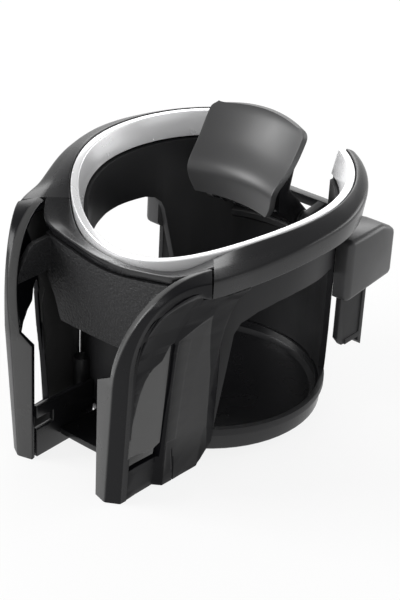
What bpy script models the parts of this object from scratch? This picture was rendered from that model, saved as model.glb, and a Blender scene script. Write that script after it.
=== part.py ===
"""Air vent cup holder.

The cup stands on the origin, its axis is Z, the legs are at -Y and the press arm is at +Y.
Lengths are metres and heights are measured from the cup floor.
"""

import math
from dataclasses import dataclass

import bmesh
import bpy
import numpy as np
from mathutils import Matrix, Vector

# Driving dimensions of the rim and the cup
RING_RADIUS = 0.0440
RING_FLAT = 0.0024
RING_CONE_RADIUS = 0.0398
RING_CONE_DEPTH = 0.0081
RING_FLANGE = 0.0040
RING_WALL = 0.0013
RIM_HEIGHT = 0.0766
RIM_SLOPE = 0.075
NOSE_DIP = 0.0105
NOSE_START_Y = 0.0050
NOSE_POWER = 3.2
RING_GAP_ANGLE = 66.0
BARREL_RADIUS = 0.0404
WALL = 0.0018
CLEARANCE = 0.0003
FOOT_DROP = 0.0060

# Driving dimensions of the collar
COLLAR_BARREL_OVERLAP = 0.0045
LIP_WIDTH = 0.0007
SEAM_ANGLE = 50.1
APRON_LIP_HEIGHT = 0.0028

# Driving dimensions of the apron
APRON_REACH = 0.0048
APRON_CURVE_RADIUS = 0.3000
APRON_WALL = 0.0020
APRON_TOP_HALF_WIDTH = 0.0262
APRON_SHOULDER_HALF_WIDTH = 0.0250
APRON_SHOULDER_HEIGHT = 0.0478
APRON_WAIST_HALF_WIDTH = 0.0213
APRON_WAIST_HEIGHT = 0.0414
APRON_BOTTOM_HALF_WIDTH = 0.0180
APRON_BOTTOM_HEIGHT = 0.0345
WING_X = 0.0253
WING_BOTTOM_HEIGHT = 0.0502

# Driving dimensions of the legs
RAIL_REACH = 0.0191
CHANNEL_HALF_WIDTH = 0.01325
NOTCH_HALF_WIDTH = 0.0183
NOTCH_HEIGHT = 0.0345
NOTCH_RISE = 0.0027
FLARE_HEIGHT = 0.0600
FLARE_POWER = 8
BEND_START_HEIGHT = 0.0373
BEND_POWER = 2.2
RAIL_WRAP = 0.0022
LEG_WINDOW_SILL = 0.0048
LEG_WINDOW_TOP = 0.0425
INNER_WALL_HEIGHT = 0.0110
INNER_OPENING_BOTTOM = 0.0041
INNER_OPENING_TOP = 0.0080
INNER_OPENING_LENGTH = 0.0072

# Driving dimensions of the windows
WINDOW_TOP = 0.0508
WINDOW_SHOULDER = 0.0400
WINDOW_SILL = 0.0062
WINDOW_FRONT_Y = -0.0290
WINDOW_FRONT_LEAN = 0.0035
WINDOW_REAR_Y = 0.0255
WINDOW_REAR_LEAN = 0.0070
REAR_WALL_HEIGHT = 0.0500
LEDGE_HEIGHT = 0.0470
LEDGE_DEPTH = 0.0050

# Driving dimensions of the tray
TRAY_RADIUS = 0.0394
TRAY_FLOOR = 0.0019
TRAY_RIM_HEIGHT = 0.0036
TONGUE_REACH = 0.0052
BOSS_RADIUS = 0.0027
BOSS_HEIGHT = 0.0130
FRONT_BOSS_ANGLE = 27.0
REAR_BOSS_ANGLE = 14.0
EAR_WIDENING = 0.0006
SCREW_SHANK = 0.0013
SCREW_HEAD = 0.0024
SCREW_HEAD_HEIGHT = 0.0012
SCREW_LENGTH = 0.0090

# Driving dimensions of the rear frame
BLOCK_INNER_X = 0.0300
BLOCK_OUTER_X = 0.0425
BLOCK_FRONT_Y = 0.0180
BLOCK_REAR_Y = 0.0430
BLOCK_BOTTOM = 0.0375
BLOCK_TOP = 0.0590
BLOCK_TOP_FALL = 0.0030
BLOCK_BOTTOM_RISE = 0.0020
BLOCK_ROUNDING = 0.0040
BAR_FRONT_Y = 0.0335
BAR_DEPTH = 0.0030
BAR_BOTTOM = 0.0575
BAR_HEIGHT = 0.0030
BAR_END_GAP = 0.0014
BRACKET_X = 0.0362
BRACKET_PLATE = 0.0020
BRACKET_FLANGE = 0.0026
BRACKET_BOTTOM = 0.0185
BRACKET_LENGTH = 0.0135

# Driving dimensions of the press arm and its hinge
HINGE_Y = 0.0266
HINGE_HEIGHT = 0.0556
ARM_SHELL = 0.0020
ARM_SAG = 0.0045
ARM_WEB_X = 0.0160
ARM_WEB = 0.0018
ARM_BOSS_RADIUS = 0.0034
ARM_BOSS_LENGTH = 0.0050
ARM_BEND_HALF_WIDTH = 0.0178
ARM_BEND_Y = 0.0098
ARM_BEND_HEIGHT = 0.0700
ARM_BAND_HEIGHT = 0.0088
ARM_BAND_DRAFT = 0.0018
ARM_PLATE_REACH = 0.0142
ARM_PLATE_HEIGHT = 0.0178
ARM_PLATE_HALF_WIDTH = 0.0192
ARM_CROWN = 0.0024
PIN_RADIUS = 0.0015
LUG_WIDTH = 0.0026
SPRING_MEAN_RADIUS = 0.0026
SPRING_WIRE = 0.0004
SPRING_TURNS = 6
SPRING_PITCH = 0.0011
SPRING_START_X = 0.0035

PARTS = "air_vent_cup_holder"
CUTTERS = "cutters"


@dataclass(frozen=True)
class CollarStation:
    """Collar section at one angle: lip, crown and outer edge over the ring top, and the skirt."""

    angle: float
    lip_rise: float
    crown_reach: float
    crown_rise: float
    outer_reach: float
    outer_rise: float
    skirt: float


# The reaches are measured outward from the ring
SIDE_STATIONS = (
    CollarStation(-SEAM_ANGLE + CLEARANCE, -0.0010, 0.0092, -0.0004, 0.0160, -0.0012, 0.0058),
    CollarStation(-37.0, 0.0002, 0.0055, -0.0017, 0.0100, -0.0033, 0.0058),
    CollarStation(-16.0, 0.0002, 0.0040, -0.0013, 0.0072, -0.0028, 0.0062),
    CollarStation(5.0, 0.0002, 0.0035, -0.0008, 0.0063, -0.0020, 0.0068),
    CollarStation(30.0, 0.0002, 0.0026, -0.0006, 0.0046, -0.0020, 0.0062),
    CollarStation(57.0, 0.0002, 0.0024, -0.0006, 0.0040, -0.0020, 0.0055),
)
FRONT_STATIONS = (
    CollarStation(-90.0, -0.0016, 0.0018, -0.0016, 0.0048, -0.0013, APRON_LIP_HEIGHT),
    CollarStation(-76.0, -0.0024, 0.0026, -0.0022, 0.0059, -0.0010, APRON_LIP_HEIGHT),
    CollarStation(-68.0, -0.0032, 0.0036, -0.0028, 0.0079, -0.0010, APRON_LIP_HEIGHT),
    CollarStation(-62.0, -0.0034, 0.0045, -0.0026, 0.0100, -0.0011, APRON_LIP_HEIGHT),
    CollarStation(-57.0, -0.0028, 0.0052, -0.0018, 0.0099, -0.0009, APRON_LIP_HEIGHT),
    CollarStation(-SEAM_ANGLE - CLEARANCE, -0.0012, 0.0060, -0.0006, 0.0082, -0.0006, APRON_LIP_HEIGHT),
)


def clear_scene():
    """Remove what the scene holds."""
    for obj in list(bpy.data.objects):
        bpy.data.objects.remove(obj, do_unlink=True)


def collection(name):
    """Return the named collection of the scene."""
    found = bpy.data.collections.get(name)
    if found is None:
        found = bpy.data.collections.new(name)
        bpy.context.scene.collection.children.link(found)
    return found


def finish(name, colour, roughness, metallic=0.0):
    """Return a plain material."""
    material = bpy.data.materials.new(name)
    material.use_nodes = True
    shader = material.node_tree.nodes["Principled BSDF"]
    shader.inputs["Base Color"].default_value = (*colour, 1.0)
    shader.inputs["Roughness"].default_value = roughness
    shader.inputs["Metallic"].default_value = metallic
    return material


def place(obj, material=None):
    """Put an object in the parts, or in the cutters where it has no material."""
    home = collection(PARTS if material else CUTTERS)
    for old in list(obj.users_collection):
        old.objects.unlink(obj)
    home.objects.link(obj)
    if material:
        obj.data.materials.clear()
        obj.data.materials.append(material)
    else:
        obj.hide_render = True
        obj.display_type = "WIRE"
    return obj


def mesh_object(name, bm, material=None, smooth=32.0):
    """Make an object of a finished bmesh, with its faces pointing out."""
    bmesh.ops.recalc_face_normals(bm, faces=bm.faces)
    mesh = bpy.data.meshes.new(name)
    bm.to_mesh(mesh)
    bm.free()
    if smooth:
        mesh.shade_smooth()
        mesh.set_sharp_from_angle(angle=math.radians(smooth))
    return place(bpy.data.objects.new(name, mesh), material)


def loft(name, sections, material=None):
    """Skin closed sections that have the same number of points, and cap both ends."""
    bm = bmesh.new()
    rings = [[bm.verts.new(point) for point in section] for section in sections]
    for first, second in zip(rings, rings[1:]):
        count = len(first)
        for index in range(count):
            after = (index + 1) % count
            bm.faces.new((first[index], first[after], second[after], second[index]))
    bm.faces.new(rings[0])
    bm.faces.new(rings[-1])
    return mesh_object(name, bm, material)


def sheet(name, rows, thickness, material=None, offset=-1.0):
    """Make a shell of a grid of points."""
    bm = bmesh.new()
    grid = [[bm.verts.new(point) for point in row] for row in rows]
    for upper, lower in zip(grid, grid[1:]):
        for index in range(len(upper) - 1):
            bm.faces.new((upper[index], upper[index + 1], lower[index + 1], lower[index]))
    mesh = bpy.data.meshes.new(name)
    bm.to_mesh(mesh)
    bm.free()
    obj = place(bpy.data.objects.new(name, mesh), material)
    shell = obj.modifiers.new("wall", "SOLIDIFY")
    shell.thickness = thickness
    shell.offset = offset
    shell.use_even_offset = True
    return obj


def prism(name, outline, axis, start, end, material=None):
    """Extrude a flat outline along X, Y or Z."""
    curve = bpy.data.curves.new(name, "CURVE")
    curve.dimensions = "2D"
    curve.fill_mode = "BOTH"
    curve.extrude = abs(end - start) / 2
    spline = curve.splines.new("POLY")
    spline.points.add(len(outline) - 1)
    for point, (first, second) in zip(spline.points, outline):
        point.co = (first, second, 0.0, 1.0)
    spline.use_cyclic_u = True
    flat = bpy.data.objects.new(name + "_outline", curve)
    bpy.context.scene.collection.objects.link(flat)
    mesh = evaluated_mesh(flat)
    bpy.data.objects.remove(flat)
    middle = (start + end) / 2
    turns = {
        "X": Matrix(((0, 0, 1, middle), (1, 0, 0, 0), (0, 1, 0, 0), (0, 0, 0, 1))),
        "Y": Matrix(((1, 0, 0, 0), (0, 0, -1, middle), (0, 1, 0, 0), (0, 0, 0, 1))),
        "Z": Matrix(((1, 0, 0, 0), (0, 1, 0, 0), (0, 0, 1, middle), (0, 0, 0, 1))),
    }
    mesh.transform(turns[axis])
    bm = bmesh.new()
    bm.from_mesh(mesh)
    bmesh.ops.remove_doubles(bm, verts=bm.verts, dist=0.00001)
    bpy.data.meshes.remove(mesh)
    return mesh_object(name, bm, material)


def evaluated_mesh(obj):
    """Return a new mesh of an object with its modifiers."""
    bpy.context.view_layer.update()
    graph = bpy.context.evaluated_depsgraph_get()
    return bpy.data.meshes.new_from_object(obj.evaluated_get(graph), depsgraph=graph)


def bake(obj):
    """Apply an object's modifiers."""
    mesh = evaluated_mesh(obj)
    obj.modifiers.clear()
    obj.data = mesh
    return obj


def combine(obj, other, operation="DIFFERENCE"):
    """Cut an object with another, or join the other to it, and remove the other."""
    tool = obj.modifiers.new(other.name, "BOOLEAN")
    tool.operation = operation
    tool.solver = "EXACT"
    tool.object = other
    bake(obj)
    bpy.data.objects.remove(other, do_unlink=True)
    return obj


def cylinder(name, radius, start, end, material=None, segments=32, inner=0.0):
    """Make a round bar between two points, or a tube with an inner radius."""
    first = Vector(start)
    along = Vector(end) - first
    bm = bmesh.new()
    bmesh.ops.create_cone(
        bm, cap_ends=True, segments=segments, radius1=radius, radius2=radius, depth=along.length
    )
    turn = along.to_track_quat("Z", "Y").to_matrix().to_4x4()
    bmesh.ops.transform(bm, matrix=Matrix.Translation(first + along / 2) @ turn, verts=bm.verts)
    bar = mesh_object(name, bm, material)
    if inner:
        step = along.normalized() * CLEARANCE
        hole = cylinder(name + "_bore", inner, first - step, first + along + step, None, segments)
        combine(bar, hole)
    return bar


def mirrored(obj, name):
    """Return a copy of an object on the other side of the middle plane."""
    bake(obj)
    mesh = obj.data.copy()
    mesh.transform(Matrix.Diagonal((-1.0, 1.0, 1.0, 1.0)))
    mesh.flip_normals()
    copy = bpy.data.objects.new(name, mesh)
    return place(copy, mesh.materials[0])


def smooth_edges(obj, angle=32.0):
    """Shade an object smooth apart from its sharp edges."""
    bake(obj)
    obj.data.shade_smooth()
    obj.data.set_sharp_from_angle(angle=math.radians(angle))
    return obj


def round_edges(obj, width, segments=2, angle=40.0):
    """Round the sharp edges of an object."""
    bevel = obj.modifiers.new("rounding", "BEVEL")
    bevel.width = width
    bevel.segments = segments
    bevel.limit_method = "ANGLE"
    bevel.angle_limit = math.radians(angle)
    return smooth_edges(obj)


def polar(radius, degrees, height):
    """Return the point at a radius and an angle round the cup axis."""
    angle = math.radians(degrees)
    return Vector((radius * math.cos(angle), radius * math.sin(angle), height))


def ring_top(degrees):
    """Return the height of the ring's top at an angle."""
    y = RING_RADIUS * math.sin(math.radians(degrees))
    height = RIM_HEIGHT + RIM_SLOPE * y
    if y < NOSE_START_Y:
        height -= NOSE_DIP * ((NOSE_START_Y - y) / (NOSE_START_Y + RING_RADIUS)) ** NOSE_POWER
    return height


def rim_angles(step):
    """Return the angles round the rim, from the right end of the gap over the front to its left end."""
    start = 90.0 - RING_GAP_ANGLE / 2
    sweep = 360.0 - RING_GAP_ANGLE
    count = round(sweep / step)
    return [start - sweep * index / count for index in range(count + 1)]


def make_trim_ring(material):
    """Make the chromed ring, with a flat top, an inner cone and an outer flange."""
    flat = RING_RADIUS - RING_FLAT
    rounding = RING_WALL / 3
    profile = (
        (RING_RADIUS, -RING_FLANGE),
        (RING_RADIUS, -rounding),
        (RING_RADIUS - rounding, 0.0),
        (flat + rounding, 0.0),
        (flat, -rounding),
        (RING_CONE_RADIUS, -RING_CONE_DEPTH),
        (RING_CONE_RADIUS + RING_WALL, -RING_CONE_DEPTH),
        (flat + RING_WALL * 0.85, -RING_FLANGE),
    )
    sections = []
    for angle in rim_angles(3.5):
        top = ring_top(angle)
        sections.append([polar(radius, angle, top + height) for radius, height in profile])
    return loft("trim_ring", sections, material)


def blend(stations, angle):
    """Return the collar section between stations at an angle, with smooth changes."""
    angles = [station.angle for station in stations]
    index = int(np.clip(np.searchsorted(angles, angle) - 1, 0, len(stations) - 2))
    before, after = stations[index], stations[index + 1]
    share = min(max((angle - before.angle) / (after.angle - before.angle), 0.0), 1.0)
    values = []
    for field in ("lip_rise", "crown_reach", "crown_rise", "outer_reach", "outer_rise", "skirt"):
        slopes = []
        for place_index in (index, index + 1):
            low = stations[max(place_index - 1, 0)]
            high = stations[min(place_index + 1, len(stations) - 1)]
            slope = (getattr(high, field) - getattr(low, field)) / (high.angle - low.angle)
            slopes.append(slope * (after.angle - before.angle))
        first, last = getattr(before, field), getattr(after, field)
        values.append(
            first * (2 * share**3 - 3 * share**2 + 1)
            + slopes[0] * (share**3 - 2 * share**2 + share)
            + last * (3 * share**2 - 2 * share**3)
            + slopes[1] * (share**3 - share**2)
        )
    return CollarStation(angle, *values)


def collar_station(angle):
    """Return the collar section at an angle on the right half."""
    stations = SIDE_STATIONS if angle > -SEAM_ANGLE else FRONT_STATIONS
    return blend(stations, angle)


def collar_section(degrees):
    """Return the closed collar section at an angle."""
    angle = degrees if degrees >= -90.0 else -180.0 - degrees
    station = collar_station(angle)
    top = ring_top(angle)
    inner = RING_RADIUS + CLEARANCE
    cone = RING_CONE_RADIUS + RING_WALL + CLEARANCE
    ledge = -RING_CONE_DEPTH - CLEARANCE
    flange = -RING_FLANGE - CLEARANCE
    crown = RING_RADIUS + station.crown_reach
    outer = RING_RADIUS + station.outer_reach
    skirt = station.outer_rise - station.skirt
    seat = BARREL_RADIUS + CLEARANCE
    bottom = ledge - COLLAR_BARREL_OVERLAP
    profile = (
        (inner, flange),
        (inner, station.lip_rise - LIP_WIDTH),
        (inner + LIP_WIDTH, station.lip_rise),
        (crown, station.crown_rise),
        (outer - LIP_WIDTH, station.outer_rise + LIP_WIDTH / 4),
        (outer, station.outer_rise - LIP_WIDTH / 2),
        (outer - WALL / 2, skirt),
        (outer - WALL * 1.4, skirt),
        (outer - WALL * 1.4, station.outer_rise - WALL * 1.3),
        (crown, station.crown_rise - WALL),
        (inner + WALL * 0.9, flange - WALL * 0.6),
        (cone + WALL, ledge),
        (seat + WALL, ledge - WALL),
        (seat + WALL, bottom),
        (seat, bottom),
        (seat, ledge),
        (cone, ledge),
        (RING_RADIUS - RING_FLAT + RING_WALL * 0.85 + CLEARANCE, flange),
    )
    return [polar(radius, degrees, top + height) for radius, height in profile]


def collar_angles():
    """Return the angles of the collar's sections, close together at the two seams."""
    angles = rim_angles(4.2)
    kept = [angle for angle in angles if abs(abs(angle + 90.0) - (90.0 - SEAM_ANGLE)) > 1.2]
    for side in (-SEAM_ANGLE, SEAM_ANGLE - 180.0):
        kept += [side + CLEARANCE, side - CLEARANCE]
    return sorted(kept, reverse=True)


def make_ring_collar(material):
    """Make the collar that carries the ring and reaches out to the legs and the apron."""
    return loft("ring_collar", [collar_section(angle) for angle in collar_angles()], material)


@dataclass(frozen=True)
class RailEdge:
    """One long edge of a leg cover: straight up the leg, then bent back to the seam."""

    foot_x: float
    foot_y: float
    leg_x: float
    leg_y: float
    bend_height: float
    seam_reach: float
    seam_rise: float
    seam_turn: float
    spread_power: float

    def at_leg(self, height):
        """Return the point of the straight leg at a height."""
        share = (height + FOOT_DROP) / (self.bend_height + FOOT_DROP)
        x = self.foot_x + (self.leg_x - self.foot_x) * share
        y = self.foot_y + (self.leg_y - self.foot_y) * share
        return Vector((x, y, height))

    def at_bend(self, turn):
        """Return the point of the bend at a turn between 0 and 90 degrees."""
        seam = -SEAM_ANGLE - self.seam_turn
        end = polar(RING_RADIUS + self.seam_reach, seam, ring_top(-SEAM_ANGLE) + self.seam_rise)
        angle = math.radians(turn)
        back = max(math.cos(angle), 0.0) ** (2 / BEND_POWER)
        up = math.sin(angle) ** (2 / BEND_POWER)
        spread = (turn / 90.0) ** self.spread_power
        return Vector(
            (
                self.leg_x + (end.x - self.leg_x) * spread,
                end.y + (self.leg_y - end.y) * back,
                self.bend_height + (end.z - self.bend_height) * up,
            )
        )


APRON_FRONT_Y = -(RING_RADIUS + APRON_REACH)
RAIL_FRONT_Y = APRON_FRONT_Y - RAIL_REACH
SPREAD = CHANNEL_HALF_WIDTH + 0.0092
INNER_EDGE = RailEdge(
    CHANNEL_HALF_WIDTH, RAIL_FRONT_Y + 0.0018, NOTCH_HALF_WIDTH, RAIL_FRONT_Y + 0.0016,
    BEND_START_HEIGHT, 0.0089, -0.0006, 2.3, 1.15,
)
RIDGE_EDGE = RailEdge(
    CHANNEL_HALF_WIDTH + 0.0050, RAIL_FRONT_Y + 0.0004, NOTCH_HALF_WIDTH + 0.0024, RAIL_FRONT_Y,
    BEND_START_HEIGHT, 0.0100, -0.0001, 0.6, 1.1,
)
SHOULDER_EDGE = RailEdge(
    SPREAD, RAIL_FRONT_Y + 0.0029, NOTCH_HALF_WIDTH + 0.0068, RAIL_FRONT_Y + 0.0019,
    BEND_START_HEIGHT, 0.0166, -0.0013, 0.5, 1.7,
)
BEND_TURNS = (6.0, 13.0, 20.0, 28.0, 36.0, 44.0, 52.0, 60.0, 68.0, 76.0, 83.0, 90.0)


def rail_path():
    """Return the inner, ridge and shoulder points of each section of the leg cover."""
    notch = (-FOOT_DROP, NOTCH_HEIGHT / 2, NOTCH_HEIGHT)
    sections = []
    for height in notch:
        inner = INNER_EDGE.at_leg(height)
        inner.x = CHANNEL_HALF_WIDTH
        sections.append((inner, RIDGE_EDGE.at_leg(height), SHOULDER_EDGE.at_leg(height)))
    above = NOTCH_HEIGHT + NOTCH_RISE
    inner = INNER_EDGE.at_leg(above)
    inner.x = NOTCH_HALF_WIDTH
    sections.append((inner, RIDGE_EDGE.at_leg(above), SHOULDER_EDGE.at_leg(above)))
    for turn in BEND_TURNS:
        edges = (INNER_EDGE, RIDGE_EDGE, SHOULDER_EDGE)
        sections.append(tuple(edge.at_bend(turn) for edge in edges))
    return sections


def bend_normals(points):
    """Return for each point of a path the direction to the inside of the bend, square to X."""
    normals = []
    for index in range(len(points)):
        before = points[max(index - 1, 0)]
        after = points[min(index + 1, len(points) - 1)]
        along = Vector((0.0, after.y - before.y, after.z - before.z)).normalized()
        normals.append(Vector((0.0, along.z, -along.y)))
    return normals


def make_leg_cover(material):
    """Make the right leg cover: inner lip, bright strip, gloss facet and a short return."""
    path = rail_path()
    normals = bend_normals([section[1] for section in path])
    sections = []
    for (inner, ridge, shoulder), normal in zip(path, normals):
        facet = (shoulder - ridge).normalized()
        strip = (ridge - inner).normalized()
        into_facet = (normal - facet * normal.dot(facet)).normalized()
        into_strip = (normal - strip * normal.dot(strip)).normalized()
        into_ridge = (into_facet + into_strip).normalized()
        side = Vector((-1.0, 0.0, 0.0))
        wrap = shoulder + normal * RAIL_WRAP
        sections.append(
            (
                inner,
                ridge,
                shoulder - facet * 0.0006,
                shoulder + normal * 0.0006,
                wrap,
                wrap + side * WALL,
                shoulder + into_facet * WALL + side * WALL,
                ridge + into_ridge * WALL,
                inner + into_strip * WALL,
            )
        )
    return loft("leg_cover_right", sections, material)


def side_wall_x(column, height):
    """Return how far out the side wall stands in one column at a height."""
    share = (height + FOOT_DROP) / (FLARE_HEIGHT + FOOT_DROP)
    return column.foot_x + column.lean * share + column.flare * share**FLARE_POWER


@dataclass(frozen=True)
class WallColumn:
    """One upright line of the side wall."""

    y: float
    foot_x: float
    lean: float
    flare: float


WALL_COLUMNS = (
    WallColumn(RAIL_FRONT_Y + 0.0040, SPREAD, 0.0038, 0.0033),
    WallColumn(RAIL_FRONT_Y + 0.0100, SPREAD - 0.0002, 0.0054, 0.0033),
    WallColumn(RAIL_FRONT_Y + 0.0172, SPREAD, 0.0072, 0.0033),
    WallColumn(RAIL_FRONT_Y + 0.0190, SPREAD + 0.0026, 0.0048, 0.0036),
    WallColumn(-BARREL_RADIUS, SPREAD + 0.0030, 0.0076, 0.0048),
    WallColumn(-BARREL_RADIUS + 0.0074, SPREAD + 0.0034, 0.0088, 0.0050),
    WallColumn(-BARREL_RADIUS + 0.0119, SPREAD + 0.0058, 0.0010, 0.0),
)


def side_wall_outline():
    """Return the outline of the side wall, seen from the side."""
    shoulders = [section[2] for section in rail_path()]
    normals = bend_normals([section[1] for section in rail_path()])
    step = RAIL_WRAP + CLEARANCE
    front = [point + normal * step for point, normal in zip(shoulders, normals)]
    outline = [(point.y, max(point.z, -FOOT_DROP)) for point in front[:-1]]
    outline[0] = (outline[0][0], -FOOT_DROP)
    skirt_side = collar_station(-37.0)
    skirt_seam = collar_station(-SEAM_ANGLE + CLEARANCE)
    seam_y = polar(RING_RADIUS + skirt_seam.outer_reach, -SEAM_ANGLE, 0.0).y
    outline = [point for point in outline if point[0] < seam_y - 0.001]
    outline += [
        (seam_y - 0.001, ring_top(-SEAM_ANGLE) + skirt_seam.outer_rise - skirt_seam.skirt - CLEARANCE),
        (WALL_COLUMNS[-2].y, ring_top(-37.0) + skirt_side.outer_rise - skirt_side.skirt - CLEARANCE),
        (WALL_COLUMNS[-1].y, ring_top(-45.0) - RING_CONE_DEPTH - WALL * 2),
        (WALL_COLUMNS[-1].y, TRAY_RIM_HEIGHT + CLEARANCE),
        (WALL_COLUMNS[-2].y + 0.0010, -FOOT_DROP + 0.0030),
        (WALL_COLUMNS[-2].y - 0.0005, -FOOT_DROP),
    ]
    return outline


def leg_window_outline():
    """Return the outline of the window in the side wall."""
    front = RAIL_FRONT_Y + 0.0045
    rear = RAIL_FRONT_Y + 0.0168
    return (
        (front, LEG_WINDOW_SILL),
        (front + 0.0008, 0.0207),
        (front + 0.0016, 0.0268),
        (front + 0.0026, 0.0318),
        (front + 0.0042, 0.0360),
        (front + 0.0067, 0.0392),
        (front + 0.0104, LEG_WINDOW_TOP - 0.0010),
        (front + 0.0142, LEG_WINDOW_TOP),
        (rear + 0.0052, LEG_WINDOW_TOP - 0.0010),
        (rear + 0.0027, 0.0369),
        (rear + 0.0014, 0.0258),
        (rear, LEG_WINDOW_SILL + 0.0010),
        (rear - 0.0008, LEG_WINDOW_SILL),
    )


def make_side_wall(material):
    """Make the right outer wall of the leg, with its window, back to the barrel."""
    top = RIM_HEIGHT
    heights = [-FOOT_DROP - 0.004 + (top + FOOT_DROP + 0.004) * step / 14 for step in range(15)]
    columns = list(WALL_COLUMNS)
    first = columns[0]
    columns[0] = WallColumn(first.y - 0.004, first.foot_x, first.lean, first.flare)
    rows = [[(side_wall_x(column, height), column.y, height) for column in columns] for height in heights]
    wall = sheet("side_wall_right", rows, WALL, material, offset=-1.0)
    bake(wall)
    outer = max(side_wall_x(columns[-2], heights[-1]), RING_RADIUS) + WALL
    keep = prism("side_outline", side_wall_outline(), "X", 0.0, outer)
    combine(wall, keep, "INTERSECT")
    window = prism("leg_window", leg_window_outline(), "X", 0.0, outer)
    combine(wall, window)
    core = cylinder(
        "barrel_clearance", BARREL_RADIUS + CLEARANCE, (0, 0, -0.02), (0, 0, RIM_HEIGHT), None, 96
    )
    combine(wall, core)
    flange = RING_CONE_RADIUS + RING_WALL + WALL + CLEARANCE * 2
    low = ring_top(-SEAM_ANGLE) - RING_CONE_DEPTH - COLLAR_BARREL_OVERLAP - CLEARANCE * 3
    combine(wall, cylinder("flange_clearance", flange, (0, 0, low), (0, 0, RIM_HEIGHT), None, 96))
    return smooth_edges(wall)


def make_inner_wall(material):
    """Make the right inner wall of the leg, low down, with its small opening."""
    front = RAIL_FRONT_Y + 0.0018 + WALL + CLEARANCE
    rear = -BARREL_RADIUS * 0.90
    wall = prism(
        "inner_wall_right",
        ((front, -FOOT_DROP), (rear - 0.002, -FOOT_DROP), (rear, -FOOT_DROP + 0.002),
         (rear, INNER_WALL_HEIGHT), (front, INNER_WALL_HEIGHT + 0.0012)),
        "X", CHANNEL_HALF_WIDTH, CHANNEL_HALF_WIDTH + WALL, material,
    )
    opening_start = front - 0.001
    opening = prism(
        "inner_opening",
        ((opening_start, INNER_OPENING_BOTTOM), (front + INNER_OPENING_LENGTH, INNER_OPENING_BOTTOM),
         (front + INNER_OPENING_LENGTH, INNER_OPENING_TOP), (opening_start, INNER_OPENING_TOP)),
        "X", 0.0, CHANNEL_HALF_WIDTH * 2,
    )
    combine(wall, opening)
    core = cylinder("tray_clearance", BARREL_RADIUS + CLEARANCE, (0, 0, -0.02), (0, 0, 0.05), None, 96)
    combine(wall, core)
    return smooth_edges(wall)


def apron_y(x):
    """Return how far forward the apron's face stands at a distance from the middle."""
    centre = APRON_FRONT_Y + APRON_CURVE_RADIUS
    return centre - math.sqrt(APRON_CURVE_RADIUS**2 - x * x)


def make_front_apron(material):
    """Make the curved apron with its cut lower corners and its two side wings."""
    count = 16
    span = APRON_TOP_HALF_WIDTH
    spots = [-span + 2 * span * step / count for step in range(count + 1)]
    lip = -APRON_LIP_HEIGHT - CLEARANCE
    rows = []
    for share in np.linspace(0.0, 1.0, 7):
        row = []
        for x in spots:
            angle = math.degrees(math.atan2(apron_y(x), abs(x)))
            top = ring_top(angle) + collar_station(angle).outer_rise + lip
            height = APRON_BOTTOM_HEIGHT + (top - APRON_BOTTOM_HEIGHT) * share
            row.append((x, apron_y(x), height))
        rows.append(row)
    apron = sheet("front_apron", rows, APRON_WALL, material, offset=-1.0)
    bake(apron)
    outline = [
        (APRON_TOP_HALF_WIDTH, RIM_HEIGHT),
        (APRON_SHOULDER_HALF_WIDTH, APRON_SHOULDER_HEIGHT),
        (APRON_WAIST_HALF_WIDTH, APRON_WAIST_HEIGHT),
        (APRON_BOTTOM_HALF_WIDTH + 0.0012, APRON_BOTTOM_HEIGHT + 0.0012),
        (APRON_BOTTOM_HALF_WIDTH, APRON_BOTTOM_HEIGHT - 0.001),
    ]
    outline += [(-x, z) for x, z in reversed(outline)]
    keep = prism("apron_outline", outline, "Y", APRON_FRONT_Y - 0.01, 0.0)
    combine(apron, keep, "INTERSECT")
    for side in (-1.0, 1.0):
        wing = make_wing(side)
        combine(apron, wing, "UNION")
    return smooth_edges(apron)


def make_wing(side):
    """Make the wing that closes the top of the leg between the apron and the rail."""
    path = rail_path()
    normals = bend_normals([section[1] for section in path])
    top = ring_top(-64.0) + collar_station(-64.0).outer_rise - APRON_LIP_HEIGHT - CLEARANCE * 2
    rear_y = apron_y(WING_X) + APRON_WALL * 0.6
    outline = [(rear_y, WING_BOTTOM_HEIGHT)]
    for (inner, ridge, _), normal in zip(path, normals):
        point = (inner + ridge) / 2 + normal * (WALL * 1.4 + CLEARANCE)
        if WING_BOTTOM_HEIGHT < point.z < top:
            if len(outline) == 1:
                outline.append((point.y, WING_BOTTOM_HEIGHT))
            outline.append((point.y, point.z))
    outline += [(outline[-1][0] + 0.002, top), (rear_y, top)]
    ends = sorted((side * WING_X, side * (WING_X - WALL)))
    return prism("wing", outline, "X", ends[0], ends[1])


def barrel_window():
    """Return the outline of the barrel's side windows, seen from the side."""
    front_top = WINDOW_FRONT_Y + WINDOW_FRONT_LEAN
    rear_top = WINDOW_REAR_Y - WINDOW_REAR_LEAN
    rise = WINDOW_TOP - WINDOW_SHOULDER
    outline = [(WINDOW_FRONT_Y, WINDOW_SILL)]
    for turn in (0.0, 20.0, 40.0, 58.0, 75.0, 90.0):
        angle = math.radians(turn)
        outline.append((front_top * math.cos(angle), WINDOW_SHOULDER + rise * math.sin(angle)))
    corner = WINDOW_REAR_LEAN
    for turn in (90.0, 60.0, 35.0, 10.0):
        angle = math.radians(turn)
        across = rear_top - corner + corner * math.cos(angle)
        outline.append((across, WINDOW_TOP - corner + corner * math.sin(angle)))
    outline.append((WINDOW_REAR_Y, WINDOW_SILL))
    return outline


def boss_spots():
    """Return the angle of each screw boss round the cup axis."""
    front, rear = -90.0, 90.0
    return (
        front - FRONT_BOSS_ANGLE, front + FRONT_BOSS_ANGLE,
        rear - REAR_BOSS_ANGLE, rear + REAR_BOSS_ANGLE,
    )


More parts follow.
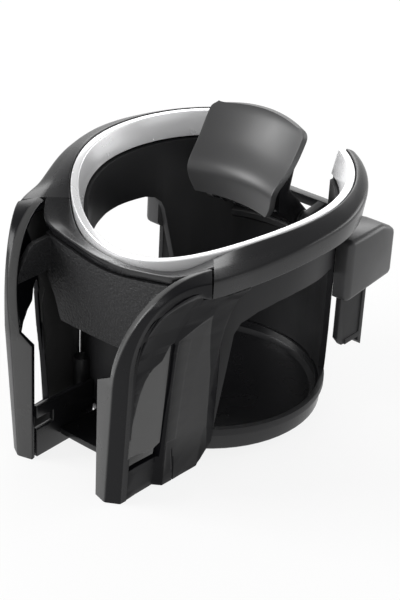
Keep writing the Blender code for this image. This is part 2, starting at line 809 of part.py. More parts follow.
def make_cup_barrel(material):
    """Make the cup wall with its windows, its low rear wall, a ledge and the screw bosses."""
    inner = BARREL_RADIUS - WALL
    bottom = TRAY_RIM_HEIGHT + CLEARANCE
    count = 96
    bm = bmesh.new()
    loops = []
    for radius in (BARREL_RADIUS, inner):
        low = [bm.verts.new(polar(radius, 360.0 * step / count, bottom)) for step in range(count)]
        high = []
        for step in range(count):
            angle = 360.0 * step / count
            top = ring_top(angle) - RING_CONE_DEPTH - CLEARANCE * 2
            high.append(bm.verts.new(polar(radius, angle, top)))
        loops.append((low, high))
    (outer_low, outer_high), (inner_low, inner_high) = loops
    for step in range(count):
        after = (step + 1) % count
        bm.faces.new((outer_low[step], outer_low[after], outer_high[after], outer_high[step]))
        bm.faces.new((inner_low[after], inner_low[step], inner_high[step], inner_high[after]))
        bm.faces.new((outer_high[step], outer_high[after], inner_high[after], inner_high[step]))
        bm.faces.new((inner_low[step], inner_low[after], outer_low[after], outer_low[step]))
    barrel = mesh_object("cup_barrel", bm, material)
    window = prism("barrel_windows", barrel_window(), "X", -RING_RADIUS, RING_RADIUS)
    combine(barrel, window)
    half = BARREL_RADIUS * math.sin(math.radians(RING_GAP_ANGLE / 2)) + BAR_END_GAP
    opening = (
        (-half, RIM_HEIGHT + 0.02), (-half, REAR_WALL_HEIGHT + 0.002),
        (-half + 0.002, REAR_WALL_HEIGHT), (half - 0.002, REAR_WALL_HEIGHT),
        (half, REAR_WALL_HEIGHT + 0.002), (half, RIM_HEIGHT + 0.02),
    )
    combine(barrel, prism("rear_opening", opening, "Y", BARREL_RADIUS / 2, BARREL_RADIUS * 1.2))
    add_ledge(barrel)
    for angle in boss_spots():
        spot = polar(BARREL_RADIUS + BOSS_RADIUS - WALL / 2, angle, bottom)
        top = spot + Vector((0.0, 0.0, BOSS_HEIGHT))
        combine(barrel, cylinder("boss", BOSS_RADIUS, spot, top, None, 20), "UNION")
        hole_top = spot + Vector((0.0, 0.0, SCREW_LENGTH - TRAY_RIM_HEIGHT + CLEARANCE))
        hole_start = spot - Vector((0.0, 0.0, 0.001))
        combine(barrel, cylinder("hole", SCREW_SHANK + CLEARANCE, hole_start, hole_top, None, 20))
    return smooth_edges(barrel)


def add_ledge(barrel):
    """Add the ledge inside the rear wall that stiffens it under the press arm."""
    sections = []
    middle = BARREL_RADIUS - WALL / 2
    for angle in np.linspace(64.0, 116.0, 14):
        sections.append(
            [
                polar(middle, angle, LEDGE_HEIGHT),
                polar(middle - LEDGE_DEPTH, angle, LEDGE_HEIGHT),
                polar(middle - LEDGE_DEPTH, angle, LEDGE_HEIGHT - WALL),
                polar(middle, angle, LEDGE_HEIGHT - LEDGE_DEPTH),
            ]
        )
    combine(barrel, loft("ledge", sections), "UNION")


def make_cup_tray(material):
    """Make the dished floor with its front tongue, the screw ears and the drain slots."""
    rim = WALL
    profile = (
        (0.0, 0.0),
        (TRAY_RADIUS - rim - 0.0016, 0.0),
        (TRAY_RADIUS - rim, 0.0012),
        (TRAY_RADIUS - rim, TRAY_RIM_HEIGHT),
        (TRAY_RADIUS, TRAY_RIM_HEIGHT),
        (TRAY_RADIUS, -TRAY_FLOOR + 0.0006),
        (TRAY_RADIUS - 0.0006, -TRAY_FLOOR),
        (0.0, -TRAY_FLOOR),
    )
    bm = bmesh.new()
    points = [bm.verts.new((radius, 0.0, height)) for radius, height in profile]
    for first, second in zip(points, points[1:]):
        bm.edges.new((first, second))
    mesh = bpy.data.meshes.new("cup_tray")
    bm.to_mesh(mesh)
    bm.free()
    tray = place(bpy.data.objects.new("cup_tray", mesh), material)
    turn = tray.modifiers.new("turn", "SCREW")
    turn.steps = 64
    turn.render_steps = 64
    turn.use_merge_vertices = True
    turn.merge_threshold = 0.00001
    turn.use_normal_calculate = True
    bake(tray)
    close_outward(tray)
    half = CHANNEL_HALF_WIDTH - CLEARANCE
    outline = [(-half, -TRAY_RADIUS + 0.006), (-half, apron_y(half) - TONGUE_REACH)]
    for share in (-0.6, -0.2, 0.2, 0.6):
        outline.append((half * share, apron_y(half * share) - TONGUE_REACH))
    outline += [(half, apron_y(half) - TONGUE_REACH), (half, -TRAY_RADIUS + 0.006)]
    tongue = prism("tongue", outline, "Z", -TRAY_FLOOR, 0.0)
    combine(tray, tongue, "UNION")
    for angle in boss_spots():
        add_ear(tray, angle)
    return smooth_edges(tray)


def screw_seat(angle):
    """Return the point on the underside of an ear where a screw's head seats."""
    return polar(BARREL_RADIUS + BOSS_RADIUS - WALL / 2, angle, -CLEARANCE)


def add_ear(tray, angle):
    """Add one screw ear to the tray, with its hole and the recess of the screw's head."""
    seat = screw_seat(angle)
    top = Vector((seat.x, seat.y, TRAY_RIM_HEIGHT))
    low = Vector((seat.x, seat.y, -TRAY_FLOOR - 0.001))
    combine(tray, cylinder("ear", BOSS_RADIUS + EAR_WIDENING, seat, top, None, 20), "UNION")
    high = top + Vector((0.0, 0.0, 0.001))
    combine(tray, cylinder("hole", SCREW_SHANK + CLEARANCE, low, high, None, 20))
    combine(tray, cylinder("recess", SCREW_HEAD + CLEARANCE, low, seat, None, 20))


def close_outward(obj):
    """Weld a turned mesh and point its faces out."""
    bm = bmesh.new()
    bm.from_mesh(obj.data)
    bmesh.ops.remove_doubles(bm, verts=bm.verts, dist=0.00001)
    bmesh.ops.recalc_face_normals(bm, faces=bm.faces)
    bm.to_mesh(obj.data)
    bm.free()


def make_tray_screws(material):
    """Make the four screws that hold the tray to the barrel's bosses."""
    for index, angle in enumerate(boss_spots(), start=1):
        under_head = screw_seat(angle) - Vector((0.0, 0.0, CLEARANCE))
        bottom = under_head - Vector((0.0, 0.0, SCREW_HEAD_HEIGHT))
        tip = under_head + Vector((0.0, 0.0, SCREW_LENGTH))
        screw = cylinder(f"tray_screw_{index}", SCREW_HEAD, bottom, under_head, material, 20)
        inside = (bottom + under_head) / 2
        smooth_edges(combine(screw, cylinder("shank", SCREW_SHANK, inside, tip, None, 16), "UNION"))


def make_rear_frame(material):
    """Make the two side blocks with the bar between them and the hinge lugs."""
    bar = prism(
        "rear_frame",
        ((BAR_FRONT_Y, BAR_BOTTOM), (BAR_FRONT_Y + BAR_DEPTH, BAR_BOTTOM),
         (BAR_FRONT_Y + BAR_DEPTH, BAR_BOTTOM + BAR_HEIGHT), (BAR_FRONT_Y, BAR_BOTTOM + BAR_HEIGHT)),
        "X", -BLOCK_INNER_X - 0.001, BLOCK_INNER_X + 0.001, material,
    )
    outline = (
        (BLOCK_FRONT_Y, BLOCK_BOTTOM), (BLOCK_REAR_Y, BLOCK_BOTTOM + BLOCK_BOTTOM_RISE),
        (BLOCK_REAR_Y, BLOCK_TOP - BLOCK_TOP_FALL), (BAR_FRONT_Y + BAR_DEPTH, BLOCK_TOP),
        (BLOCK_FRONT_Y, BLOCK_TOP),
    )
    core = cylinder("core", BARREL_RADIUS + CLEARANCE, (0, 0, 0), (0, 0, RIM_HEIGHT), None, 96)
    for side in (-1.0, 1.0):
        ends = sorted((side * BLOCK_INNER_X, side * BLOCK_OUTER_X))
        block = round_edges(prism("block", outline, "X", ends[0], ends[1]), BLOCK_ROUNDING / 2, 3)
        own_core = core.copy()
        own_core.data = core.data.copy()
        collection(CUTTERS).objects.link(own_core)
        combine(block, own_core)
        combine(bar, block, "UNION")
        combine(bar, make_lug(side), "UNION")
    bpy.data.objects.remove(core)
    return smooth_edges(bar)


def lug_x():
    """Return the inner face of the hinge lugs."""
    return ARM_WEB_X + ARM_BOSS_LENGTH / 2 - ARM_WEB / 2 + CLEARANCE


def make_lug(side):
    """Make one hinge lug, from the bar forward and down to the hinge."""
    radius = PIN_RADIUS + CLEARANCE + WALL
    outline = [
        (HINGE_Y + radius * math.cos(math.radians(turn)), HINGE_HEIGHT + radius * math.sin(math.radians(turn)))
        for turn in range(100, 291, 19)
    ]
    outline += [(BAR_FRONT_Y + 0.001, BAR_BOTTOM), (BAR_FRONT_Y + 0.001, BAR_BOTTOM + BAR_HEIGHT)]
    ends = sorted((side * lug_x(), side * (lug_x() + LUG_WIDTH)))
    lug = prism("lug", outline, "X", ends[0], ends[1])
    start = (ends[0] - 0.001, HINGE_Y, HINGE_HEIGHT)
    end = (ends[1] + 0.001, HINGE_Y, HINGE_HEIGHT)
    return combine(lug, cylinder("lug_bore", PIN_RADIUS + CLEARANCE, start, end, None, 24))


def make_support_bracket(material):
    """Make the right bracket: a plate under the block with a rear flange and a foot."""
    top = BLOCK_BOTTOM - CLEARANCE
    front = BLOCK_FRONT_Y + 0.003
    rear = front + BRACKET_LENGTH
    slope = BLOCK_BOTTOM_RISE / (BLOCK_REAR_Y - BLOCK_FRONT_Y)
    plate = prism(
        "support_bracket_right",
        ((front, top), (front, BRACKET_BOTTOM + 0.0035), (front + 0.0030, BRACKET_BOTTOM),
         (rear, BRACKET_BOTTOM), (rear, top + slope * (rear - BLOCK_FRONT_Y))),
        "X", BRACKET_X, BRACKET_X + BRACKET_PLATE, material,
    )
    flange = prism(
        "flange",
        ((rear - BRACKET_PLATE, BRACKET_BOTTOM - 0.0015), (rear, BRACKET_BOTTOM - 0.0035),
         (rear, top), (rear - BRACKET_PLATE, top)),
        "X", BRACKET_X - BRACKET_FLANGE / 2, BRACKET_X + BRACKET_FLANGE,
    )
    combine(plate, flange, "UNION")
    foot = prism(
        "foot",
        ((front + 0.004, BRACKET_BOTTOM), (rear - 0.001, BRACKET_BOTTOM),
         (rear - 0.001, BRACKET_BOTTOM + BRACKET_PLATE), (front + 0.004, BRACKET_BOTTOM + BRACKET_PLATE)),
        "X", BRACKET_X - BRACKET_FLANGE / 2, BRACKET_X + BRACKET_FLANGE,
    )
    combine(plate, foot, "UNION")
    core = cylinder("core", BARREL_RADIUS + CLEARANCE, (0, 0, 0), (0, 0, RIM_HEIGHT), None, 96)
    combine(plate, core)
    return smooth_edges(plate)


def arm_rows():
    """Return the half width, side edge, side height and crown of each row of the arm's shell."""
    low_y = ARM_BEND_Y + ARM_BAND_DRAFT
    low = ARM_BEND_HEIGHT - ARM_BAND_HEIGHT
    reach, rise = ARM_PLATE_REACH, ARM_PLATE_HEIGHT
    wide = ARM_PLATE_HALF_WIDTH
    return (
        (ARM_BEND_HALF_WIDTH * 0.84, low_y, low, 0.0),
        (ARM_BEND_HALF_WIDTH * 0.94, low_y - ARM_BAND_DRAFT * 0.4, low + ARM_BAND_HEIGHT * 0.35, 0.0),
        (ARM_BEND_HALF_WIDTH * 0.98, ARM_BEND_Y + 0.0004, ARM_BEND_HEIGHT - ARM_BAND_HEIGHT * 0.3, 0.0),
        (ARM_BEND_HALF_WIDTH, ARM_BEND_Y + 0.0002, ARM_BEND_HEIGHT - 0.0009, 0.0),
        (ARM_BEND_HALF_WIDTH, ARM_BEND_Y + 0.0011, ARM_BEND_HEIGHT + 0.0006, 0.0),
        (ARM_BEND_HALF_WIDTH + 0.0004, ARM_BEND_Y + 0.0030, ARM_BEND_HEIGHT + 0.0024, 0.0),
        (wide - 0.0004, ARM_BEND_Y + reach * 0.47, ARM_BEND_HEIGHT + rise * 0.34, 0.0),
        (wide, ARM_BEND_Y + reach * 0.66, ARM_BEND_HEIGHT + rise * 0.57, 0.0),
        (wide, ARM_BEND_Y + reach * 0.81, ARM_BEND_HEIGHT + rise * 0.76, ARM_CROWN * 0.1),
        (wide * 0.985, ARM_BEND_Y + reach * 0.89, ARM_BEND_HEIGHT + rise * 0.84, ARM_CROWN * 0.35),
        (wide * 0.94, ARM_BEND_Y + reach * 0.95, ARM_BEND_HEIGHT + rise * 0.90, ARM_CROWN * 0.7),
        (wide * 0.86, ARM_BEND_Y + reach, ARM_BEND_HEIGHT + rise * 0.94, ARM_CROWN),
    )


def make_press_arm(material):
    """Make the curved flap with its two webs, its root and its hinge bosses."""
    rows = []
    for half, side_y, height, crown in arm_rows():
        row = []
        for share in np.linspace(-1.0, 1.0, 15):
            sag = ARM_SAG * (1.0 - (share * half / ARM_PLATE_HALF_WIDTH) ** 2)
            edge = ARM_SAG * (1.0 - (half / ARM_PLATE_HALF_WIDTH) ** 2)
            row.append((half * share, side_y + sag - edge, height + crown * (1.0 - share**2)))
        rows.append(row)
    arm = sheet("press_arm", rows, ARM_SHELL, material, offset=1.0)
    bake(arm)
    low = ARM_BEND_HEIGHT - ARM_BAND_HEIGHT
    web = [
        (ARM_BEND_Y + 0.0035, low + 0.0012),
        (ARM_BEND_Y + 0.0030, ARM_BEND_HEIGHT - 0.0005),
        (ARM_BEND_Y + ARM_PLATE_REACH * 0.60, ARM_BEND_HEIGHT + ARM_PLATE_HEIGHT * 0.38),
        (ARM_BEND_Y + ARM_PLATE_REACH * 0.72, ARM_BEND_HEIGHT + ARM_PLATE_HEIGHT * 0.36),
        (ARM_BEND_Y + 0.0083, ARM_BEND_HEIGHT - 0.0010),
    ]
    for turn in range(35, -126, -20):
        angle = math.radians(turn)
        web.append(
            (HINGE_Y + ARM_BOSS_RADIUS * math.cos(angle), HINGE_HEIGHT + ARM_BOSS_RADIUS * math.sin(angle))
        )
    root = (
        (ARM_BEND_Y + 0.0040, low + 0.0006),
        (ARM_BEND_Y + 0.0040, low + 0.0030),
        (HINGE_Y - ARM_BOSS_RADIUS - 0.0008, HINGE_HEIGHT + 0.0014),
        (HINGE_Y - ARM_BOSS_RADIUS - 0.0008, HINGE_HEIGHT - 0.0006),
    )
    combine(arm, prism("root", root, "X", -ARM_WEB_X, ARM_WEB_X), "UNION")
    bore = PIN_RADIUS + CLEARANCE
    for side in (-1.0, 1.0):
        ends = sorted((side * (ARM_WEB_X - ARM_WEB / 2), side * (ARM_WEB_X + ARM_WEB / 2)))
        combine(arm, prism("web", web, "X", ends[0], ends[1]), "UNION")
        ends = sorted((side * (ARM_WEB_X - ARM_BOSS_LENGTH / 2), side * (lug_x() - CLEARANCE)))
        start = (ends[0], HINGE_Y, HINGE_HEIGHT)
        end = (ends[1], HINGE_Y, HINGE_HEIGHT)
        combine(arm, cylinder("boss", ARM_BOSS_RADIUS, start, end, None, 24), "UNION")
    reach = lug_x() + 0.002
    hole = cylinder("bore", bore, (-reach, HINGE_Y, HINGE_HEIGHT), (reach, HINGE_Y, HINGE_HEIGHT), None, 24)
    combine(arm, hole)
    smooth_edges(arm)
    arm.data.transform(Matrix.Translation((0.0, -HINGE_Y, -HINGE_HEIGHT)))
    arm.location = (0.0, HINGE_Y, HINGE_HEIGHT)
    return arm


def make_hinge_pin(material):
    """Make the steel pin through the lugs and the arm's bosses."""
    reach = lug_x() + LUG_WIDTH + 0.0008
    pin = cylinder(
        "hinge_pin", PIN_RADIUS, (-reach, HINGE_Y, HINGE_HEIGHT), (reach, HINGE_Y, HINGE_HEIGHT), material, 20
    )
    return round_edges(pin, PIN_RADIUS / 5, 1)


def make_torsion_spring(side, material):
    """Make one spring on the pin, with its fixed end against the bar."""
    name = "torsion_spring_right" if side > 0 else "torsion_spring_left"
    points = []
    steps = 10
    leg = BAR_FRONT_Y - HINGE_Y - SPRING_WIRE - CLEARANCE
    height = HINGE_HEIGHT + SPRING_MEAN_RADIUS
    points.append((side * SPRING_START_X, HINGE_Y + leg, height))
    points.append((side * SPRING_START_X, HINGE_Y + leg * 0.3, height))
    for step in range(SPRING_TURNS * steps + 1):
        angle = math.radians(90.0 + 360.0 * step / steps)
        x = SPRING_START_X + SPRING_PITCH * step / steps
        y = HINGE_Y + SPRING_MEAN_RADIUS * math.cos(angle)
        z = HINGE_HEIGHT + SPRING_MEAN_RADIUS * math.sin(angle)
        points.append((side * x, y, z))
    curve = bpy.data.curves.new(name, "CURVE")
    curve.dimensions = "3D"
    curve.bevel_depth = SPRING_WIRE
    curve.bevel_resolution = 1
    curve.use_fill_caps = True
    spline = curve.splines.new("POLY")
    spline.points.add(len(points) - 1)
    for point, position in zip(spline.points, points):
        point.co = (*position, 1.0)
    spring = bpy.data.objects.new(name, curve)
    return place(spring, material)


def build():
    """Build every piece of the holder."""
    clear_scene()
    satin = finish("satin_black", (0.025, 0.025, 0.027), 0.42)
    gloss = finish("dark_gloss", (0.018, 0.018, 0.020), 0.22)
    grain = finish("grained_black", (0.035, 0.035, 0.036), 0.70)
    chrome = finish("chrome", (0.83, 0.84, 0.86), 0.12, 1.0)
    steel = finish("steel", (0.55, 0.55, 0.56), 0.35, 1.0)
    make_trim_ring(chrome)
    make_ring_collar(satin)
    mirrored(make_leg_cover(gloss), "leg_cover_left")
    mirrored(make_side_wall(satin), "side_wall_left")
    mirrored(make_inner_wall(satin), "inner_wall_left")
    make_front_apron(grain)
    make_cup_barrel(satin)
    make_cup_tray(satin)
    make_tray_screws(steel)
    make_rear_frame(satin)
    mirrored(make_support_bracket(satin), "support_bracket_left")
    make_press_arm(satin)
    make_hinge_pin(steel)
    for side in (-1.0, 1.0):
        make_torsion_spring(side, steel)


build()
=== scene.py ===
"""Air vent cup holder: detailed pieces, finishes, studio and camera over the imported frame.

Lengths are metres. The cup's axis is Z, the hooked legs are at -Y and the press arm is at +Y.
"""

import logging
import math
from dataclasses import astuple, dataclass
from enum import Enum
from typing import Dict, List, Optional, Sequence, Tuple

import bmesh
import bpy
import numpy as np
from mathutils import Matrix, Vector
from mathutils.bvhtree import BVHTree


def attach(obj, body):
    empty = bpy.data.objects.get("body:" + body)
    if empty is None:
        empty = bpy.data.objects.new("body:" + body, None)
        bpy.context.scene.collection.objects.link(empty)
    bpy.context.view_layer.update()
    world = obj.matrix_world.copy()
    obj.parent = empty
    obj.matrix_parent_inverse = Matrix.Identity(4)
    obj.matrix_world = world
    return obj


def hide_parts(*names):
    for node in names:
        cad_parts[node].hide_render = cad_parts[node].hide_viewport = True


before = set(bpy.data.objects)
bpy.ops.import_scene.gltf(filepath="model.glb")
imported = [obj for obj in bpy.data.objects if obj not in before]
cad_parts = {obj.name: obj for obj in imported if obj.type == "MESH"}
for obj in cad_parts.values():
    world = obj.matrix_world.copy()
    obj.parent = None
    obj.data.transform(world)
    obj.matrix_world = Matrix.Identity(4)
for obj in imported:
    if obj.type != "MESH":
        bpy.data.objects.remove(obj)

LOG = logging.getLogger("cup_holder")
Point = Tuple[float, float]
Triple = Tuple[float, float, float]
Mesh = bpy.types.Mesh
Node = bpy.types.Node
NodeTree = bpy.types.NodeTree
Socket = bpy.types.NodeSocket
# Painted light: this vertex attribute marks where a finish shows its lighter grey, which stands in for
# light falling there.
PAINTED_LIGHT_MASK = "second_tone"  # vertex attribute: 1 where a finish shows its second tone
TINT_SPREAD = 1.7  # size of the colour's patches, next to those of the gloss
NOISE_SPAN = (0.3, 0.7)  # where most values of a noise texture lie
LEAST_ROUGHNESS = 0.02
WELD_DISTANCE = 0.000002
FLAT_ANGLE = math.radians(0.4)  # faces that turn less than this are one
CUT_DISTANCE = 0.00002
HINGE: Point = (0.0266, 0.0556)  # Y and Z of the press arm's pin


class Slot(Enum):
    """Material slots of the record."""

    SATIN = "satin_black"
    GLOSS = "dark_gloss"
    GRAIN = "grained_black"
    CHROME = "chrome"
    STEEL = "steel"


class Operation(Enum):
    """Ways to combine two closed meshes."""

    JOIN = "UNION"
    CUT = "DIFFERENCE"


class Body(Enum):
    """Rigid bodies of the record."""

    HOLDER = "holder"
    ARM = "arm"


def feed(tree: NodeTree, node: Node, inputs: Dict[object, object]) -> None:
    """Set or link a node's inputs.

    Args:
        tree: The tree that holds the node.
        node: The node.
        inputs: Its input sockets, by name or number, with a value or with the socket that feeds each.
    """
    for key, value in inputs.items():
        if isinstance(value, Socket):
            tree.links.new(value, node.inputs[key])
        else:
            node.inputs[key].default_value = value


def new_node(
    tree: NodeTree, kind: str, inputs: Optional[Dict[object, object]] = None, **settings: object
) -> Node:
    """Add a node to a tree, with its own settings first and then its inputs.

    Args:
        tree: The tree.
        kind: The node's type.
        inputs: Its inputs, as feed takes them.
        settings: Its own properties.

    Returns:
        The node.
    """
    node = tree.nodes.new(kind)
    for key, value in settings.items():
        setattr(node, key, value)
    feed(tree, node, inputs or {})
    return node


@dataclass(frozen=True)
class Finish:
    """A surface finish: colour, gloss and the fine relief of the mould."""

    name: str
    slot: Slot
    colour: Triple
    roughness: float
    metallic: float = 0.0
    specular: float = 0.5
    grain_size: float = 0.0004
    grain_depth: float = 0.00001
    grain_strength: float = 0.3
    mottle: float = 0.05
    mottle_size: float = 0.012
    tint: float = 0.15
    # Grey of the painted light, shown where the mesh's mask asks for it; 0 paints none.
    second_tone: float = 0.0

    def material(self) -> bpy.types.Material:
        """Return this finish's procedural material, built once.

        Returns:
            The material.
        """
        found = bpy.data.materials.get(self.name)
        if found:
            return found
        material = bpy.data.materials.new(self.name)
        material.use_nodes = True
        tree = material.node_tree
        place = new_node(tree, "ShaderNodeTexCoord").outputs["Object"]
        feed(tree, tree.nodes["Principled BSDF"], {
            "Metallic": self.metallic,
            "Specular IOR Level": self.specular,
            "Base Color": self._colour(tree, place),
            "Roughness": self._roughness(tree, place),
            "Normal": self._relief(tree, place),
        })
        return material

    @staticmethod
    def _noise(tree: NodeTree, place: Socket, size: float, detail: float) -> Socket:
        """Return noise of one feature size on object coordinates."""
        inputs = {"Scale": 1.0 / size, "Detail": detail, "Vector": place}
        return new_node(tree, "ShaderNodeTexNoise", inputs).outputs["Fac"]

    @staticmethod
    def _mixed(tree: NodeTree, share: Socket, first: object, second: object) -> Socket:
        """Return the mix of two colours."""
        return new_node(tree, "ShaderNodeMix", {0: share, 6: first, 7: second}, data_type="RGBA").outputs[2]

    def _colour(self, tree: NodeTree, place: Socket) -> Socket:
        """Return the colour, which drifts a little, as pigment in a moulding does, with painted light where
        the mesh's mask asks for it.

        Args:
            tree: The material's node tree.
            place: The place on the object.

        Returns:
            The socket that gives the colour.
        """
        low = [channel * (1.0 - self.tint) for channel in self.colour]
        high = [min(channel * (1.0 + self.tint), 1.0) for channel in self.colour]
        noise = self._noise(tree, place, self.mottle_size * TINT_SPREAD, detail=2.0)
        colour = self._mixed(tree, noise, (*low, 1.0), (*high, 1.0))
        # Painted light: the mask blends the colour into a lighter grey that stands in for light.
        if self.second_tone:
            painted_zone = new_node(tree, "ShaderNodeAttribute", attribute_name=PAINTED_LIGHT_MASK).outputs["Fac"]
            painted_level = self.second_tone
            colour = self._mixed(tree, painted_zone, colour, (painted_level, painted_level, painted_level, 1.0))
        return colour

    def _roughness(self, tree: NodeTree, place: Socket) -> Socket:
        """Return the roughness, which drifts a little over the surface.

        Args:
            tree: The material's node tree.
            place: The place on the object.

        Returns:
            The socket that gives the roughness.
        """
        return new_node(tree, "ShaderNodeMapRange", {
            "Value": self._noise(tree, place, self.mottle_size, detail=4.0),
            "From Min": NOISE_SPAN[0],
            "From Max": NOISE_SPAN[1],
            "To Min": max(self.roughness - self.mottle, LEAST_ROUGHNESS),
            "To Max": self.roughness + self.mottle,
        }).outputs["Result"]

    def _relief(self, tree: NodeTree, place: Socket) -> Socket:
        """Return the normal with the fine relief of the mould.

        Args:
            tree: The material's node tree.
            place: The place on the object.

        Returns:
            The socket that gives the normal.
        """
        height = self._noise(tree, place, self.grain_size, detail=3.0)
        inputs = {"Distance": self.grain_depth, "Strength": self.grain_strength, "Height": height}
        return new_node(tree, "ShaderNodeBump", inputs).outputs["Normal"]


SATIN = Finish("satin_moulding", Slot.SATIN, (0.009, 0.009, 0.010), 0.26, specular=0.45, mottle=0.04,
               grain_size=0.0005)
# Same satin black, painted lighter: painted light for the lit faces of the rear frame's blocks.
FRAME_SATIN_PAINTED_LIGHT = Finish("frame_satin", Slot.SATIN, (0.035, 0.035, 0.036), 0.36, specular=0.45,
                     grain_size=0.0005)
# Same satin black as the other mouldings, painted lighter: a painted sheen for the arm's highlights.
ARM_SATIN_PAINTED_LIGHT = Finish("arm_satin", Slot.SATIN, (0.042, 0.042, 0.043), 0.40, mottle=0.03, grain_size=0.0005)
# Same satin black painted darker, a painted shade for the side walls; its lighter grey is painted light on
# their sunk panel, the window panel and the faces behind the window.
WALL_SATIN_PAINTED_SHADE_AND_LIGHT = Finish("wall_satin", Slot.SATIN, (0.002, 0.002, 0.003), 0.42, specular=0.12, second_tone=0.085)
INSIDE = Finish("cup_matt", Slot.SATIN, (0.011, 0.011, 0.012), 0.50, specular=0.3, grain_size=0.0007)
# Gloss black of the rails; its lighter grey on the inner strip is partly the strip's own tone and partly a
# painted highlight.
GLOSS = Finish("rail_gloss", Slot.GLOSS, (0.003, 0.003, 0.004), 0.26, specular=0.22, grain_size=0.0009,
               grain_strength=0.15, second_tone=0.060)
GRAIN = Finish(
    "fine_grain", Slot.GRAIN, (0.012, 0.012, 0.013), 0.46, specular=0.35, grain_size=0.0008,
    grain_depth=0.0004, grain_strength=1.0, tint=0.9, mottle=0.08, mottle_size=0.0004,
)
CHROME = Finish("bright_chrome", Slot.CHROME, (0.93, 0.93, 0.94), 0.26, metallic=0.45, mottle=0.03,
                tint=0.02, grain_strength=0.02)
STEEL = Finish("spring_steel", Slot.STEEL, (0.52, 0.52, 0.54), 0.32, metallic=1.0, tint=0.08)


def evaluated(obj: bpy.types.Object) -> Mesh:
    """Return a new mesh of an object with its modifiers.

    Args:
        obj: The object to evaluate.

    Returns:
        The finished mesh.
    """
    bpy.context.view_layer.update()
    graph = bpy.context.evaluated_depsgraph_get()
    return bpy.data.meshes.new_from_object(obj.evaluated_get(graph), depsgraph=graph)


def linked(name: str, mesh: Mesh) -> bpy.types.Object:
    """Return a new object in the scene that shows a mesh.

    Args:
        name: Name of the object.
        mesh: Its mesh.

    Returns:
        The object.
    """
    obj = bpy.data.objects.new(name, mesh)
    bpy.context.scene.collection.objects.link(obj)
    return obj


def modified(mesh: Mesh, steps: Dict[str, Dict[str, object]]) -> Mesh:
    """Return a new mesh with modifiers run on it.

    Args:
        mesh: The mesh to start from.
        steps: The modifiers' types in order, with their settings.

    Returns:
        The finished mesh.
    """
    obj = linked("work", mesh)
    for kind, settings in steps.items():
        modifier = obj.modifiers.new(kind.lower(), kind)
        for key, value in settings.items():
            setattr(modifier, key, value)
    result = evaluated(obj)
    bpy.data.objects.remove(obj)
    return result


def written(name: str, bm: bmesh.types.BMesh) -> Mesh:
    """Return a bmesh as a new mesh and free it.

    Args:
        name: Name of the mesh.
        bm: The bmesh.

    Returns:
        The mesh.
    """
    mesh = bpy.data.meshes.new(name)
    bm.to_mesh(mesh)
    bm.free()
    return mesh


def loft(name: str, sections: Sequence[Sequence[Vector]]) -> Mesh:
    """Skin closed sections that have the same number of points, and cap both ends.

    Args:
        name: Name of the mesh.
        sections: The sections in order.

    Returns:
        The closed mesh.
    """
    bm = bmesh.new()
    rings = [[bm.verts.new(point) for point in section] for section in sections]
    for first, second in zip(rings, rings[1:]):
        count = len(first)
        for index in range(count):
            after = (index + 1) % count
            bm.faces.new((first[index], first[after], second[after], second[index]))
    bm.faces.new(rings[0])
    bm.faces.new(rings[-1])
    bmesh.ops.recalc_face_normals(bm, faces=bm.faces)
    return written(name, bm)


def prism(name: str, outline: Sequence[Point], start: float, end: float) -> Mesh:
    """Return a slab along X whose outline is given in Y and Z."""
    sections = [[Vector((x, y, z)) for y, z in outline] for x in (start, end)]
    return loft(name, sections)


def rod(name: str, radius: float, start: Vector, end: Vector, segments: int = 48) -> Mesh:
    """Return a round bar between two points.

    Args:
        name: Name of the mesh.
        radius: The bar's radius.
        start: Middle of its first end.
        end: Middle of its second end.
        segments: Number of its sides.

    Returns:
        The closed mesh.
    """
    along = end - start
    turn = along.to_track_quat("Z", "Y").to_matrix()
    sections = []
    for base in (start, end):
        ring = []
        for step in range(segments):
            angle = 2.0 * math.pi * step / segments
            ring.append(base + turn @ Vector((radius * math.cos(angle), radius * math.sin(angle), 0.0)))
        sections.append(ring)
    return loft(name, sections)


def rounded(
    points: Sequence[Vector], radii: Sequence[float], steps: int = 4, most: float = 0.45
) -> List[Vector]:
    """Round the corners of a closed outline.

    Args:
        points: The corners in order.
        radii: How far each corner is cut back; 0 keeps it sharp.
        steps: Number of short sides that replace a corner.
        most: The largest share of a side that a corner may take.

    Returns:
        The outline with its rounded corners.
    """
    run: List[Vector] = []
    for index, (point, radius) in enumerate(zip(points, radii)):
        if not radius:
            run.append(point)
            continue
        before, after = points[index - 1] - point, points[(index + 1) % len(points)] - point
        start = point + before.normalized() * min(radius, before.length * most)
        end = point + after.normalized() * min(radius, after.length * most)
        for step in range(steps + 1):
            share = step / steps
            run.append(start * (1.0 - share) ** 2 + point * (2.0 * share * (1.0 - share)) + end * share**2)
    return run


def set_painted_light(mesh: Mesh, light_shares: Sequence[float]) -> None:
    """Write how much painted light, a lighter grey standing in for light, each vertex shows."""
    layer = mesh.attributes.get(PAINTED_LIGHT_MASK) or mesh.attributes.new(PAINTED_LIGHT_MASK, "FLOAT", "POINT")
    layer.data.foreach_set("value", list(light_shares))


def smooth_share(share: float) -> float:
    """Return a share between 0 and 1 that starts and ends gently."""
    share = min(max(share, 0.0), 1.0)
    return share * share * (3.0 - 2.0 * share)


def combined(base: Mesh, other: Mesh, operation: Operation) -> Mesh:
    """Return the union or difference of two closed meshes.

    Args:
        base: The mesh that stays.
        other: The mesh that is joined to it or cut from it.
        operation: Whether it is joined or cut.

    Returns:
        The new closed mesh.
    """
    tool = linked("tool", other)
    mesh = modified(base, {"BOOLEAN": {"operation": operation.value, "solver": "EXACT", "object": tool}})
    bpy.data.objects.remove(tool)
    return mesh


